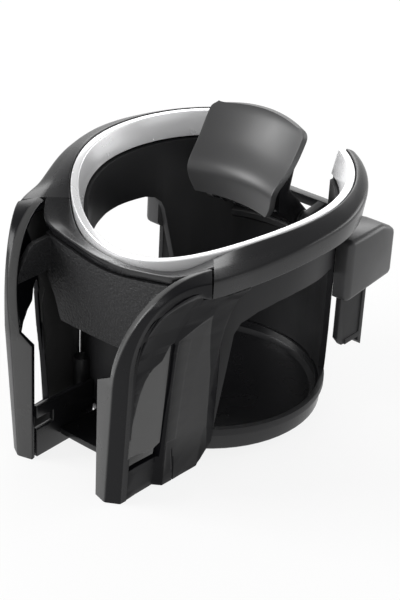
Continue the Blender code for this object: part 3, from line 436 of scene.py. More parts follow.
def merged_copy(node: str) -> Mesh:
    """Return a welded copy of a CAD node's mesh with its flat faces whole again.

    Args:
        node: Name of the CAD node.

    Returns:
        The welded mesh in the row frame.
    """
    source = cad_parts[node]
    bm = bmesh.new()
    bm.from_mesh(source.data)
    bm.transform(source.matrix_world)
    bmesh.ops.remove_doubles(bm, verts=bm.verts, dist=WELD_DISTANCE)
    bmesh.ops.dissolve_limit(bm, angle_limit=FLAT_ANGLE, verts=bm.verts, edges=bm.edges)
    return written(node + "_welded", bm)


class OuterFace:
    """The outer face of a CAD node on the right, seen along X."""

    def __init__(self, node: str, least_x: float = 0.0215) -> None:
        """Prepare the face for looking up.

        Args:
            node: Name of the CAD node.
            least_x: What is seen nearer to the middle than this isn't the outer face.
        """
        self.least_x = least_x
        bm = bmesh.new()
        bm.from_mesh(merged_copy(node))
        self.tree = BVHTree.FromBMesh(bm)
        bm.free()

    def reach(self, y: float, z: float) -> Optional[float]:
        """Return the face's X at a place, or None beside the piece."""
        hit = self.tree.ray_cast(Vector((1.0, y, z)), Vector((-1.0, 0.0, 0.0)))[0]
        return hit.x if hit and hit.x > self.least_x else None

    def filled(self, y: float, z: float, step: float = 0.00025, tries: int = 90) -> float:
        """Return the face's X at a place, carried over from both sides where the piece is open.

        Args:
            y: The place's Y.
            z: The place's Z.
            step: How far apart the tries lie.
            tries: How many are made on each side.

        Returns:
            The X of the closed face.
        """
        found = self.reach(y, z)
        if found is not None:
            return found
        sides = []
        for way in (-step, step):
            for count in range(1, tries):
                x = self.reach(y + way * count, z)
                if x is not None:
                    sides.append((count, x))
                    break
        if len(sides) == 2:
            (near, low), (far, high) = sides
            return (low * far + high * near) / (near + far)
        return sides[0][1] if sides else 0.0


@dataclass(frozen=True)
class Rounding:
    """How the edges of a piece are rounded and where its shading breaks."""

    width: float = 0.00030
    segments: int = 3
    angle: float = 30.0
    shade: float = 35.0

    def apply(self, mesh: Mesh) -> Mesh:
        """Return the mesh with rounded edges and smooth shading.

        Args:
            mesh: The mesh to round.

        Returns:
            The rounded mesh.
        """
        bevel = {
            "width": self.width, "segments": self.segments, "limit_method": "ANGLE",
            "angle_limit": math.radians(self.angle), "use_clamp_overlap": True,
        }
        result = modified(mesh, {"BEVEL": bevel} if self.width else {})
        result.shade_smooth()
        result.set_sharp_from_angle(angle=math.radians(self.shade))
        return result


def add_piece(
    name: str, mesh: Mesh, finish: Finish, body: Body = Body.HOLDER, nodes: Sequence[str] = ()
) -> None:
    """Put a finished mesh in the scene as a piece of the object.

    Args:
        name: Name of the piece.
        mesh: The mesh, in the row frame.
        finish: The finish of its surface.
        body: The body that carries it.
        nodes: CAD nodes that it stands for.
    """
    piece = linked(name, mesh)
    mesh.materials.clear()
    mesh.materials.append(finish.material())
    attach(piece, body.value)
    if nodes:
        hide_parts(*nodes)
    LOG.info("%s: %d faces, %s", name, len(mesh.polygons), finish.name)


@dataclass(frozen=True)
class RimCurve:
    """Height of the ring's top round the cup, with the dip of the nose."""

    radius: float = 0.0440
    height: float = 0.0766
    slope: float = 0.075
    nose_dip: float = 0.0105
    nose_start: float = 0.0050
    nose_power: float = 3.2
    gap: float = 66.0

    def top(self, degrees: float) -> float:
        """Return the height of the ring's top at an angle.

        Args:
            degrees: The angle round the cup's axis, in degrees from +X.

        Returns:
            The height.
        """
        y = self.radius * math.sin(math.radians(degrees))
        height = self.height + self.slope * y
        if y < self.nose_start:
            share = (self.nose_start - y) / (self.nose_start + self.radius)
            height -= self.nose_dip * share**self.nose_power
        return height

    def angles(self, step: float) -> List[float]:
        """Return the angles from the right end of the gap over the front to its left end.

        Args:
            step: About how far apart they lie, in degrees.

        Returns:
            The angles in falling order.
        """
        sweep = 360.0 - self.gap
        count = round(sweep / step)
        return [90.0 - self.gap / 2 - sweep * index / count for index in range(count + 1)]

    def at(self, radius: float, degrees: float, rise: float, mirror_angle: float) -> Vector:
        """Return a point at a radius and an angle, raised over the ring's top."""
        angle = math.radians(degrees)
        return Vector((radius * math.cos(angle), radius * math.sin(angle), self.top(mirror_angle) + rise))


RIM = RimCurve()


@dataclass
class TrimRing:
    """Chromed ring on the rim."""

    flat: float = 0.0024
    cone_radius: float = 0.0398
    cone_depth: float = 0.0081
    flange: float = 0.0040
    wall: float = 0.0013
    step: float = 1.2
    rounding: Rounding = Rounding(width=0.00035, segments=4, angle=20.0, shade=50.0)

    @property
    def hollow(self) -> float:
        """Return the inner radius of the flange, under the flat."""
        return RIM.radius - self.flat + self.wall * 0.85

    def section(self, degrees: float) -> List[Vector]:
        """Return the closed section at an angle.

        Args:
            degrees: The angle round the cup's axis, in degrees from +X.

        Returns:
            The section's points in order.
        """
        radius = RIM.radius
        inner = radius - self.flat
        profile = (
            (radius, -self.flange),
            (radius, 0.0),
            (inner, 0.0),
            (self.cone_radius, -self.cone_depth),
            (self.cone_radius + self.wall, -self.cone_depth),
            (self.hollow, -self.flange),
        )
        return [RIM.at(at, degrees, rise, degrees) for at, rise in profile]

    def build(self) -> None:
        """Build the ring and dress it."""
        mesh = loft("trim_ring_bright", [self.section(angle) for angle in RIM.angles(self.step)])
        add_piece("trim_ring_bright", self.rounding.apply(mesh), CHROME, nodes=["trim_ring"])


@dataclass(frozen=True)
class Station:
    """Collar section at one angle, measured from the ring's outer top edge."""

    angle: float
    lip_rise: float
    crown_reach: float
    crown_rise: float
    outer_reach: float
    outer_rise: float
    skirt: float


@dataclass
class RingCollar:
    """Satin collar round the ring, down to the legs and the apron."""

    seam: float = 50.1
    clearance: float = 0.0003
    wall: float = 0.0018
    lip: float = 0.0007
    apron_lip: float = 0.0028
    barrel_radius: float = 0.0404
    barrel_overlap: float = 0.0045
    edge_radius: float = 0.0013
    step: float = 1.6
    seam_room: float = 0.6
    rounding: Rounding = Rounding(width=0.0, segments=1, angle=30.0, shade=40.0)

    def side(self) -> Tuple[Station, ...]:
        """Return the stations from the seam to the gap on the right.

        Returns:
            The stations in order of angle.
        """
        return (
            Station(-self.seam + self.clearance, -0.0010, 0.0092, -0.0004, 0.0160, -0.0012, 0.0058),
            Station(-37.0, 0.0002, 0.0055, -0.0017, 0.0100, -0.0033, 0.0058),
            Station(-16.0, 0.0002, 0.0040, -0.0013, 0.0072, -0.0028, 0.0062),
            Station(5.0, 0.0002, 0.0035, -0.0008, 0.0063, -0.0020, 0.0068),
            Station(30.0, 0.0002, 0.0026, -0.0006, 0.0046, -0.0020, 0.0062),
            Station(57.0, 0.0002, 0.0024, -0.0006, 0.0040, -0.0020, 0.0055),
        )

    def front(self) -> Tuple[Station, ...]:
        """Return the stations from the middle of the front to the seam on the right.

        Returns:
            The stations in order of angle.
        """
        low = self.apron_lip
        return (
            Station(-90.0, -0.0016, 0.0018, -0.0016, 0.0048, -0.0013, low),
            Station(-76.0, -0.0024, 0.0026, -0.0022, 0.0059, -0.0010, low),
            Station(-68.0, -0.0032, 0.0036, -0.0028, 0.0079, -0.0010, low),
            Station(-62.0, -0.0034, 0.0045, -0.0026, 0.0100, -0.0011, low),
            Station(-57.0, -0.0028, 0.0052, -0.0018, 0.0099, -0.0009, low),
            Station(-self.seam - self.clearance, -0.0012, 0.0060, -0.0006, 0.0082, -0.0006, low),
        )

    def station(self, angle: float) -> Station:
        """Return the section between stations at an angle, with smooth changes.

        Args:
            angle: Angle on the right half, in degrees.

        Returns:
            The blended station.
        """
        stations = self.side() if angle > -self.seam else self.front()
        table = np.array([astuple(station) for station in stations])
        angles, last = table[:, 0], len(table) - 1
        index = int(np.clip(np.searchsorted(angles, angle) - 1, 0, last - 1))
        width = angles[index + 1] - angles[index]
        share = min(max((angle - angles[index]) / width, 0.0), 1.0)
        slopes = []
        for near in (index, index + 1):
            low, high = max(near - 1, 0), min(near + 1, last)
            slopes.append((table[high] - table[low]) / (angles[high] - angles[low]) * width)
        values = (
            table[index] * (2 * share**3 - 3 * share**2 + 1) + slopes[0] * (share**3 - 2 * share**2 + share)
            + table[index + 1] * (3 * share**2 - 2 * share**3) + slopes[1] * (share**3 - share**2)
        )
        return Station(angle, *(float(value) for value in values[1:]))

    def section(self, degrees: float, ring: TrimRing) -> List[Vector]:
        """Return the closed collar section at an angle.

        Args:
            degrees: The angle round the cup's axis, in degrees from +X.
            ring: The trim ring that sits in the collar.

        Returns:
            The section's points in order.
        """
        angle = degrees if degrees >= -90.0 else -180.0 - degrees
        station = self.station(angle)
        inner = RIM.radius + self.clearance
        cone = ring.cone_radius + ring.wall + self.clearance
        ledge = -ring.cone_depth - self.clearance
        flange = -ring.flange - self.clearance
        crown = RIM.radius + station.crown_reach
        outer = RIM.radius + station.outer_reach
        skirt = station.outer_rise - station.skirt
        seat = self.barrel_radius + self.clearance
        bottom = ledge - self.barrel_overlap
        wall, lip = self.wall, self.lip
        heel = outer - wall * 1.4
        corners = (
            (inner, flange, 0.0), (inner, station.lip_rise, lip), (crown, station.crown_rise, lip),
            (outer, station.outer_rise + lip / 4, self.edge_radius), (outer - wall / 2, skirt, lip / 2),
            (heel, skirt, 0.0), (heel, station.outer_rise - wall * 1.3, 0.0),
            (crown, station.crown_rise - wall, 0.0), (inner + wall * 0.9, flange - wall * 0.6, 0.0),
            (cone + wall, ledge, 0.0), (seat + wall, ledge - wall, 0.0), (seat + wall, bottom, 0.0),
            (seat, bottom, 0.0), (seat, ledge, 0.0), (cone, ledge, 0.0),
            (ring.hollow + self.clearance, flange, 0.0),
        )
        points = [RIM.at(radius, degrees, rise, angle) for radius, rise, _ in corners]
        return rounded(points, [cut for _, _, cut in corners])

    def build(self, ring: TrimRing) -> None:
        """Build the collar and dress it.

        Args:
            ring: The trim ring that sits in the collar.
        """
        angles = RIM.angles(self.step)
        kept = [angle for angle in angles if abs(abs(angle + 90.0) - (90.0 - self.seam)) > self.seam_room]
        for side in (-self.seam, self.seam - 180.0):
            kept += [side + self.clearance, side - self.clearance]
        kept.sort(reverse=True)
        mesh = loft("ring_collar_satin", [self.section(angle, ring) for angle in kept])
        add_piece("ring_collar_satin", self.rounding.apply(mesh), SATIN, nodes=["ring_collar"])


@dataclass(frozen=True)
class RailEdge:
    """One long edge of a leg cover: straight up the leg, then bent back to the seam."""

    foot: Point
    leg: Point
    reach: float
    rise: float
    turn: float
    spread: float

    def at_leg(self, height: float, foot_level: float, bend: float) -> Vector:
        """Return the point of the straight leg at a height.

        Args:
            height: The point's height.
            foot_level: Height of the foot.
            bend: Height at which the bend starts.

        Returns:
            The point.
        """
        share = (height - foot_level) / (bend - foot_level)
        x = self.foot[0] + (self.leg[0] - self.foot[0]) * share
        y = self.foot[1] + (self.leg[1] - self.foot[1]) * share
        return Vector((x, y, height))

    def at_bend(self, turn: float, bend: float, power: float, seam: float) -> Vector:
        """Return the point of the bend at a turn between 0 and 90 degrees.

        Args:
            turn: How far round the bend the point lies, in degrees.
            bend: Height at which the bend starts.
            power: Fullness of the bend, which is round at 2.
            seam: Angle of the seam with the collar, in degrees.

        Returns:
            The point.
        """
        angle = math.radians(-seam - self.turn)
        radius = RIM.radius + self.reach
        end = Vector((radius * math.cos(angle), radius * math.sin(angle), RIM.top(-seam) + self.rise))
        back = max(math.cos(math.radians(turn)), 0.0) ** (2 / power)
        up = math.sin(math.radians(turn)) ** (2 / power)
        spread = (turn / 90.0) ** self.spread
        return Vector((
            self.leg[0] + (end.x - self.leg[0]) * spread,
            end.y + (self.leg[1] - end.y) * back,
            bend + (end.z - bend) * up,
        ))


@dataclass
class LegCovers:
    """The two hooked front rails, with their inner strip and outer facet."""

    front_y: float = -0.0679
    channel: float = 0.01325
    notch: float = 0.0183
    notch_height: float = 0.0345
    notch_rise: float = 0.0027
    foot_level: float = -0.0060
    bend: float = 0.0373
    bend_steps: int = 30
    power: float = 2.2
    wall: float = 0.0018
    lip_low: float = 0.0026
    lip_high: float = 0.0050
    lip_steps: int = 6
    lip_lift: float = 0.00018
    edge_radius: float = 0.0007
    rounding: Rounding = Rounding(width=0.0, segments=1, angle=30.0, shade=42.0)

    def edges(self) -> Tuple[RailEdge, RailEdge, RailEdge]:
        """Return the inner, ridge and shoulder edges.

        Returns:
            The three edges.
        """
        y, channel, notch = self.front_y, self.channel, self.notch
        return (
            RailEdge(
                foot=(channel, y + 0.0018), leg=(notch, y + 0.0016),
                reach=0.0089, rise=-0.0006, turn=2.3, spread=1.15,
            ),
            RailEdge(
                foot=(channel + 0.0050, y + 0.0004), leg=(notch + 0.0024, y),
                reach=0.0100, rise=-0.0001, turn=0.6, spread=1.1,
            ),
            RailEdge(
                foot=(channel + 0.0092, y + 0.0029), leg=(notch + 0.0068, y + 0.0019),
                reach=0.0166, rise=-0.0013, turn=0.5, spread=1.7,
            ),
        )

    def path(self, seam: float) -> List[Tuple[Vector, Vector, Vector]]:
        """Return the inner, ridge and shoulder points of each section.

        Args:
            seam: Angle of the seam with the collar, in degrees.

        Returns:
            The three points of each section, from the foot up.
        """
        edges = self.edges()
        rows = []
        top = self.notch_height
        for height in (self.foot_level, top / 2, top, top + self.notch_rise):
            row = [edge.at_leg(height, self.foot_level, self.bend) for edge in edges]
            row[0].x = self.notch if height > top else self.channel
            rows.append(tuple(row))
        for step in range(1, self.bend_steps + 1):
            turn = 90.0 * step / self.bend_steps
            rows.append(tuple(edge.at_bend(turn, self.bend, self.power, seam) for edge in edges))
        return rows

    def lip(
        self, shoulder: Vector, normal: Vector, width: float, face: OuterFace
    ) -> Tuple[List[Vector], List[Vector]]:
        """Return the top and the underside of the lip that runs out on the side wall.

        Args:
            shoulder: Where the facet ends.
            normal: Direction across the rail in the Y and Z plane.
            width: How far the lip reaches.
            face: The side wall's outer face.

        Returns:
            The top points from the shoulder outwards and the points under them.
        """
        top, under = [], []
        level = shoulder.x
        for step in range(1, self.lip_steps + 1):
            share = step / self.lip_steps
            spot = shoulder + normal * (width * share)
            found = face.reach(spot.y, spot.z)
            level = found if found is not None else level
            x = shoulder.x + (level + self.lip_lift - shoulder.x) * smooth_share(share)
            top.append(Vector((x, spot.y, spot.z)))
            below = level + self.lip_lift / 3 if found is not None else x - self.wall / 2
            under.append(Vector((min(below, x - self.lip_lift / 3), spot.y, spot.z)))
        return top, under

    def sections(self, seam: float, face: OuterFace) -> List[List[Vector]]:
        """Return the closed sections of the right cover.

        Args:
            seam: Angle of the seam with the collar, in degrees.
            face: The side wall's outer face.

        Returns:
            The points of each section, from the foot up.
        """
        rows = self.path(seam)
        straight = len(rows) - self.bend_steps
        radius = self.edge_radius
        radii = [radius * 0.6, radius, radius] + [0.0] * (2 * self.lip_steps + 2) + [radius * 0.6]
        sections = []
        for index, (inner, ridge, shoulder) in enumerate(rows):
            before, after = rows[max(index - 1, 0)][1], rows[min(index + 1, len(rows) - 1)][1]
            along = Vector((0.0, after.y - before.y, after.z - before.z)).normalized()
            normal = Vector((0.0, along.z, -along.y))
            facet, strip = (shoulder - ridge).normalized(), (ridge - inner).normalized()
            into_facet = (normal - facet * normal.dot(facet)).normalized()
            into_strip = (normal - strip * normal.dot(strip)).normalized()
            turn = smooth_share((index - straight) / (self.bend_steps - 1))
            width = self.lip_low + (self.lip_high - self.lip_low) * turn
            top, under = self.lip(shoulder, normal, width, face)
            corners = [
                inner, ridge, shoulder, *top, *reversed(under),
                shoulder + (into_facet - Vector((1.0, 0.0, 0.0))).normalized() * self.wall,
                ridge + (into_facet + into_strip).normalized() * self.wall,
                inner + into_strip * self.wall,
            ]
            sections.append(rounded(corners, radii))
        return sections

    def build(self, seam: float) -> None:
        """Build both covers and dress them.

        Args:
            seam: Angle of the seam with the collar, in degrees.
        """
        right = self.sections(seam, OuterFace("side_wall_right"))
        left = [[Vector((-point.x, point.y, point.z)) for point in section] for section in right]
        # Points 0 to 4 round the inner corner and 5 to 9 the ridge: the strip lies between their middles.
        # The inner strip is marked for the lighter grey: partly its own tone, partly a painted highlight
        # for the light it catches; the mirrored left cover gets the same marks.
        strip = [1.0 if 2 <= index <= 6 else 0.5 if index == 7 else 0.0 for index in range(len(right[0]))]
        for name, sections in (("leg_cover_right", right), ("leg_cover_left", left)):
            mesh = loft(name + "_gloss", sections)
            set_painted_light(mesh, strip * len(sections))
            mesh = self.rounding.apply(mesh)
            add_piece(name + "_gloss", mesh, GLOSS, nodes=[name])


@dataclass(frozen=True)
class WallPlate:
    """A plate that follows the side wall's outer face, at a small depth under it."""

    front_y: float
    rear_y: float
    foot: float
    top: float
    depth: float
    rear_depth: float
    thickness: float
    wave: float = 0.0
    wave_halves: float = 2.4
    front_lean: float = 0.0
    lean_power: float = 2.2
    level: bool = False
    frame_front: float = 0.0001
    frame_rear: float = 0.0067
    rows: int = 36
    columns: int = 14

    def surface(self, face: OuterFace, y: float, z: float) -> float:
        """Return the X that the plate follows at a place.

        Args:
            face: The side wall's outer face.
            y: The place's Y.
            z: The place's Z.

        Returns:
            The face's own X, or where the plate is level, that of a plain face from its front to its rear.
        """
        if not self.level:
            return face.filled(y, z)
        front, rear = self.front_y - self.frame_front, self.rear_y + self.frame_rear
        share = (y - front) / (rear - front)
        middle = (self.foot + self.top) / 2
        climb = (z - self.foot) / (middle - self.foot)
        lines = []
        for edge in (front, rear):
            low, high = face.filled(edge, self.foot), face.filled(edge, middle)
            lines.append(low + (high - low) * climb)
        return lines[0] + (lines[1] - lines[0]) * share

    def mesh(self, face: OuterFace) -> Mesh:
        """Return the closed plate.

        Args:
            face: The side wall's outer face.

        Returns:
            The plate's mesh, all of it marked for painted light.
        """
        sections = []
        for row in range(self.rows + 1):
            rise = row / self.rows
            level = self.foot + (self.top - self.foot) * rise
            front_y = self.front_y + self.front_lean * rise**self.lean_power
            outer, inner = [], []
            for column in range(self.columns + 1):
                share = column / self.columns
                y = front_y + (self.rear_y - front_y) * share
                z = level + self.wave * math.sin(share * math.pi * self.wave_halves) * (1.0 - rise)
                x = self.surface(face, y, level) - self.depth - (self.rear_depth - self.depth) * share**2
                outer.append(Vector((x, y, z)))
                inner.append(Vector((x - self.thickness, y, z)))
            sections.append(outer + inner[::-1])
        mesh = loft("wall_plate", sections)
        # Every vertex shows the finish's painted light, a lighter grey that stands in for light.
        set_painted_light(mesh, [1.0] * len(mesh.vertices))
        return mesh


@dataclass
class SideWalls:
    """The outer leg walls, with the sunk panel behind the window's rib and the slit at the foot."""

    window_rear: float = -0.0500
    window_foot: float = 0.0048
    window_top: float = 0.0465
    window_half_x: float = 0.0120
    rib: float = 0.0010
    top_line: Tuple[Point, Point] = ((-0.0490, 0.0463), (-0.0405, 0.0535))
    rear_lines: Tuple[Tuple[Point, Point], ...] = (
        ((-0.0405, 0.0535), (-0.0352, 0.0310)), ((-0.0352, 0.0310), (-0.0316, 0.0043)),
    )
    depth: float = 0.0014
    step: float = 0.0012
    edge: float = 0.0003
    fade: float = 0.0150
    # Painted light on the wall: the sunk panel is painted lighter, rising from its front toward its rear
    # line and fading out toward the foot, and the faces behind the window are painted lighter too.
    painted_panel_light: float = 0.5
    painted_edge_light: float = 0.4
    painted_light_run: float = 2.5
    painted_inner_light: float = 0.8
    foot: float = -0.0040
    grid: float = 0.0008
    slit: Tuple[Point, Point] = ((-0.0459, 0.0124), (-0.0444, -0.0070))
    slit_width: float = 0.00035
    slit_depth: float = 0.0010
    blade: float = 0.005
    rounding: Rounding = Rounding(width=0.00030, segments=2, angle=32.0, shade=34.0)
    shading: Rounding = Rounding(width=0.0, segments=1, angle=30.0, shade=36.0)
    panel_rounding: Rounding = Rounding(width=0.0002, segments=2, angle=40.0, shade=35.0)
    filler: WallPlate = WallPlate(
        front_y=-0.0500, rear_y=-0.0440, foot=0.0090, top=0.0452, depth=-0.00002, rear_depth=-0.00002,
        thickness=0.0016,
    )
    # The window's panel is painted light all over: a lighter grey for the lit floor of the recess.
    window_panel: WallPlate = WallPlate(
        front_y=-0.0636, rear_y=-0.0507, foot=0.0098, top=0.0468, depth=0.0004, rear_depth=0.0008,
        thickness=0.0012, wave=0.0008, front_lean=0.0090, level=True,
    )

    @staticmethod
    def inside(line: Tuple[Point, Point], y: float, z: float) -> float:
        """Return how far a place lies inside a line of the panel's outline.

        Args:
            line: The line's two ends.
            y: The place's Y.
            z: The place's Z.

        Returns:
            The distance, below 0 outside.
        """
        (y0, z0), (y1, z1) = line
        length = math.hypot(y1 - y0, z1 - z0)
        return ((y - y0) * (z1 - z0) - (z - z0) * (y1 - y0)) / length

    def panel(self, y: float, z: float) -> Tuple[float, float]:
        """Return how deep the panel lies and how much painted light it shows at a place.

        Args:
            y: The place's Y.
            z: The place's Z.

        Returns:
            The depth as a share of the full one, and the share of painted light.
        """
        start = self.top_line[0][0]
        top = self.inside(self.top_line, y, z)
        rear = min(self.inside(line, y, z) for line in self.rear_lines)
        margin = min(top, rear, y - start)
        fade = smooth_share((z - self.foot) / self.fade)
        painted_level = min(max(1.0 + margin / self.edge, 0.0), 1.0) * fade
        if margin <= 0.0:
            return 0.0, painted_level * self.painted_panel_light
        across = (y - start) / (y - start + rear)
        sides = smooth_share(top / self.step) * smooth_share((y - start) / self.step)
        strength = self.painted_edge_light + (1.0 - self.painted_edge_light) * smooth_share(across * self.painted_light_run)
        return sides * fade * (1.0 - across**2), painted_level * self.painted_panel_light * strength

    def cuts(self) -> List[Tuple[Vector, Vector]]:
        """Return the planes that cut the wall along the panel's outline and into a grid.

        Returns:
            A point and the normal of each plane.
        """
        planes = []
        for line in (self.top_line, *self.rear_lines):
            (y0, z0), (y1, z1) = line
            across = Vector((0.0, z1 - z0, y0 - y1)).normalized()
            for offset in (-self.edge, 0.0, self.step / 2, self.step):
                planes.append((Vector((0.0, y0, z0)) + across * offset, across))
        ends = self.top_line[0][0], self.rear_lines[-1][1][0]
        planes += [(Vector((0.0, y, 0.0)), Vector((0.0, 1.0, 0.0)))
                   for y in (ends[0] - self.edge, *np.arange(ends[0], ends[1], self.grid))]
        planes += [(Vector((0.0, 0.0, z)), Vector((0.0, 0.0, 1.0)))
                   for z in np.arange(self.foot, self.top_line[1][1], self.grid * 1.5)]
        return planes

    def slit_blade(self, face: OuterFace) -> Mesh:
        """Return the blade that cuts the slit at the foot.

        Args:
            face: The side wall's outer face.

        Returns:
            The blade's mesh.
        """
        sections = []
        for y, z in self.slit:
            x = (face.reach(y, max(z, self.foot)) or self.window_half_x * 2) - self.slit_depth
            half = self.slit_width / 2
            corners = ((0.0, -half), (self.blade, -half), (self.blade, half), (0.0, half))
            sections.append([Vector((x + out, y + across, z)) for out, across in corners])
        return loft("slit", sections)

    def mesh(self, face: OuterFace) -> Mesh:
        """Return the finished right wall without the window's panel.

        Args:
            face: The side wall's outer face.

        Returns:
            The wall's mesh with its painted light.
        """
        rear, foot, top, rib = self.window_rear, self.window_foot, self.window_top, self.rib
        opening = [(rear - 4 * rib, foot), (rear, foot), (rear, top - rib), (rear - rib / 2, top),
                   (rear - 2 * rib, top - rib), (rear - 4 * rib, top - 6 * rib)]
        low = self.window_half_x
        mesh = combined(merged_copy("side_wall_right"), self.filler.mesh(face), Operation.JOIN)
        mesh = combined(mesh, prism("opening", opening, low, 4 * low), Operation.CUT)
        bm = bmesh.new()
        bm.from_mesh(self.rounding.apply(mesh))
        for spot, normal in self.cuts():
            everything = bm.verts[:] + bm.edges[:] + bm.faces[:]
            bmesh.ops.bisect_plane(bm, geom=everything, dist=CUT_DISTANCE, plane_co=spot, plane_no=normal)
        light_shares = []
        for vertex in bm.verts:
            x, y, z = vertex.co
            depth, painted_level = self.panel(y, z)
            if abs(face.filled(y, z) - x) > self.edge:
                # Faces off the outer face behind the window's rear edge are painted lighter, painted light
                # for the inside seen through the window; the rest get none.
                depth, painted_level = 0.0, self.painted_inner_light if y > self.window_rear + self.rib else 0.0
            vertex.co.x -= self.depth * depth
            light_shares.append(painted_level)
        result = written("side_wall_fine", bm)
        set_painted_light(result, light_shares)
        return combined(result, self.slit_blade(face), Operation.CUT)

    def build(self) -> None:
        """Build both walls and the panel of the right one's window, and dress them."""
        face = OuterFace("side_wall_right")
        plain_wall = self.mesh(face)
        left = plain_wall.copy()
        left.transform(Matrix.Diagonal((-1.0, 1.0, 1.0, 1.0)))
        left.flip_normals()
        panel = self.panel_rounding.apply(self.window_panel.mesh(face))
        add_piece("window_panel_right", panel, WALL_SATIN_PAINTED_SHADE_AND_LIGHT)
        for name, mesh in (("side_wall_right", plain_wall), ("side_wall_left", left)):
            add_piece(name + "_moulding", self.shading.apply(mesh), WALL_SATIN_PAINTED_SHADE_AND_LIGHT, nodes=[name])


@dataclass
class PressArm:
    """The curved flap in the gap of the ring, with its webs and hinge bosses."""

    hinge: Point = HINGE
    bend: Point = (0.0098, 0.0700)
    bend_half: float = 0.0178
    band: float = 0.0088
    draft: float = 0.0018
    reach: float = 0.0142
    rise: float = 0.0178
    half: float = 0.0192
    sag: float = 0.0045
    crown: float = 0.0024
    shell: float = 0.0020
    web_x: float = 0.0160
    web: float = 0.0018
    boss_radius: float = 0.0034
    boss_length: float = 0.0050
    pin: float = 0.0018
    columns: int = 15
    bore_sides: int = 32
    shell_rounding: Rounding = Rounding(width=0.0007, segments=4, angle=50.0, shade=45.0)
    rounding: Rounding = Rounding(width=0.00025, segments=2, angle=35.0, shade=35.0)

    def rows(self) -> List[Tuple[float, float, float, float]]:
        """Return the half width, side edge, side height and crown of each row of the shell.

        Returns:
            The rows, from the lower lip to the top edge.
        """
        y, z, half, wide = self.bend[0], self.bend[1], self.bend_half, self.half
        low = z - self.band
        reach, rise, crown = self.reach, self.rise, self.crown
        return [
            (half * 0.84, y + self.draft, low, 0.0),
            (half * 0.94, y + self.draft * 0.6, low + self.band * 0.35, 0.0),
            (half * 0.98, y + 0.0004, z - self.band * 0.3, 0.0),
            (half, y + 0.0002, z - 0.0009, 0.0),
            (half, y + 0.0011, z + 0.0006, 0.0),
            (half + 0.0004, y + 0.0030, z + 0.0024, 0.0),
            (wide - 0.0004, y + reach * 0.47, z + rise * 0.34, 0.0),
            (wide, y + reach * 0.66, z + rise * 0.57, 0.0),
            (wide, y + reach * 0.81, z + rise * 0.76, crown * 0.1),
            (wide, y + reach * 0.89, z + rise * 0.86, crown * 0.3),
            (wide * 0.96, y + reach * 0.95, z + rise * 0.93, crown * 0.6),
            (wide * 0.885, y + reach, z + rise * 0.955, crown * 0.8),
        ]

    def shell_mesh(self) -> Mesh:
        """Return the smooth shell of the flap.

        Returns:
            The shell's mesh.
        """
        bm = bmesh.new()
        grid = []
        for half, side_y, height, crown in self.rows():
            row = []
            for share in np.linspace(-1.0, 1.0, self.columns):
                bow = self.sag * ((half / self.half) ** 2 - (share * half / self.half) ** 2)
                row.append(bm.verts.new((half * share, side_y + bow, height + crown * (1.0 - share**2))))
            grid.append(row)
        for upper, lower in zip(grid, grid[1:]):
            for index in range(len(upper) - 1):
                bm.faces.new((upper[index], upper[index + 1], lower[index + 1], lower[index]))
        result = modified(written("press_arm_shell", bm), {
            "SUBSURF": {"levels": 2, "render_levels": 2, "boundary_smooth": "PRESERVE_CORNERS"},
            "SOLIDIFY": {"thickness": self.shell, "offset": 1.0, "use_even_offset": True},
        })
        return self.shell_rounding.apply(result)

    def web_outline(self) -> List[Point]:
        """Return the outline of a web in Y and Z.

        Returns:
            The outline's points in order.
        """
        y, z = self.bend
        low = z - self.band
        outline = [
            (y + 0.0035, low + 0.0012), (y + 0.0030, z - 0.0005),
            (y + self.reach * 0.60, z + self.rise * 0.38), (y + self.reach * 0.72, z + self.rise * 0.36),
            (y + 0.0083, z - 0.0010),
        ]
        for turn in range(35, -126, -10):
            angle = math.radians(turn)
            outline.append((
                self.hinge[0] + self.boss_radius * math.cos(angle),
                self.hinge[1] + self.boss_radius * math.sin(angle),
            ))
        return outline

    def carrier_mesh(self) -> Mesh:
        """Return the webs, the root and the hinge bosses as one solid.

        Returns:
            The carrier's mesh.
        """
        y, z = self.bend
        low = z - self.band
        hinge_y, hinge_z = self.hinge
        root = [
            (y + 0.0040, low + 0.0006), (y + 0.0040, low + 0.0030),
            (hinge_y - self.boss_radius - 0.0008, hinge_z + 0.0014),
            (hinge_y - self.boss_radius - 0.0008, hinge_z - 0.0006),
        ]
        mesh = prism("press_arm_carrier", root, -self.web_x, self.web_x)
        outer = self.web_x + self.boss_length / 2 - self.web / 2
        for side in (-1.0, 1.0):
            web = sorted((side * (self.web_x - self.web / 2), side * (self.web_x + self.web / 2)))
            mesh = combined(mesh, prism("web", self.web_outline(), web[0], web[1]), Operation.JOIN)
            ends = sorted((side * (self.web_x - self.boss_length / 2), side * outer))
            start, end = Vector((ends[0], hinge_y, hinge_z)), Vector((ends[1], hinge_y, hinge_z))
            mesh = combined(mesh, rod("boss", self.boss_radius, start, end), Operation.JOIN)
        reach = Vector((outer + 0.002, 0.0, 0.0))
        centre = Vector((0.0, hinge_y, hinge_z))
        bore = rod("bore", self.pin, centre - reach, centre + reach, self.bore_sides)
        return self.rounding.apply(combined(mesh, bore, Operation.CUT))

    def build(self) -> None:
        """Build the flap and what carries it, and dress both."""
        add_piece("press_arm_shell", self.shell_mesh(), ARM_SATIN_PAINTED_LIGHT, Body.ARM, ["press_arm"])
        add_piece("press_arm_carrier", self.carrier_mesh(), SATIN, Body.ARM, ["press_arm"])


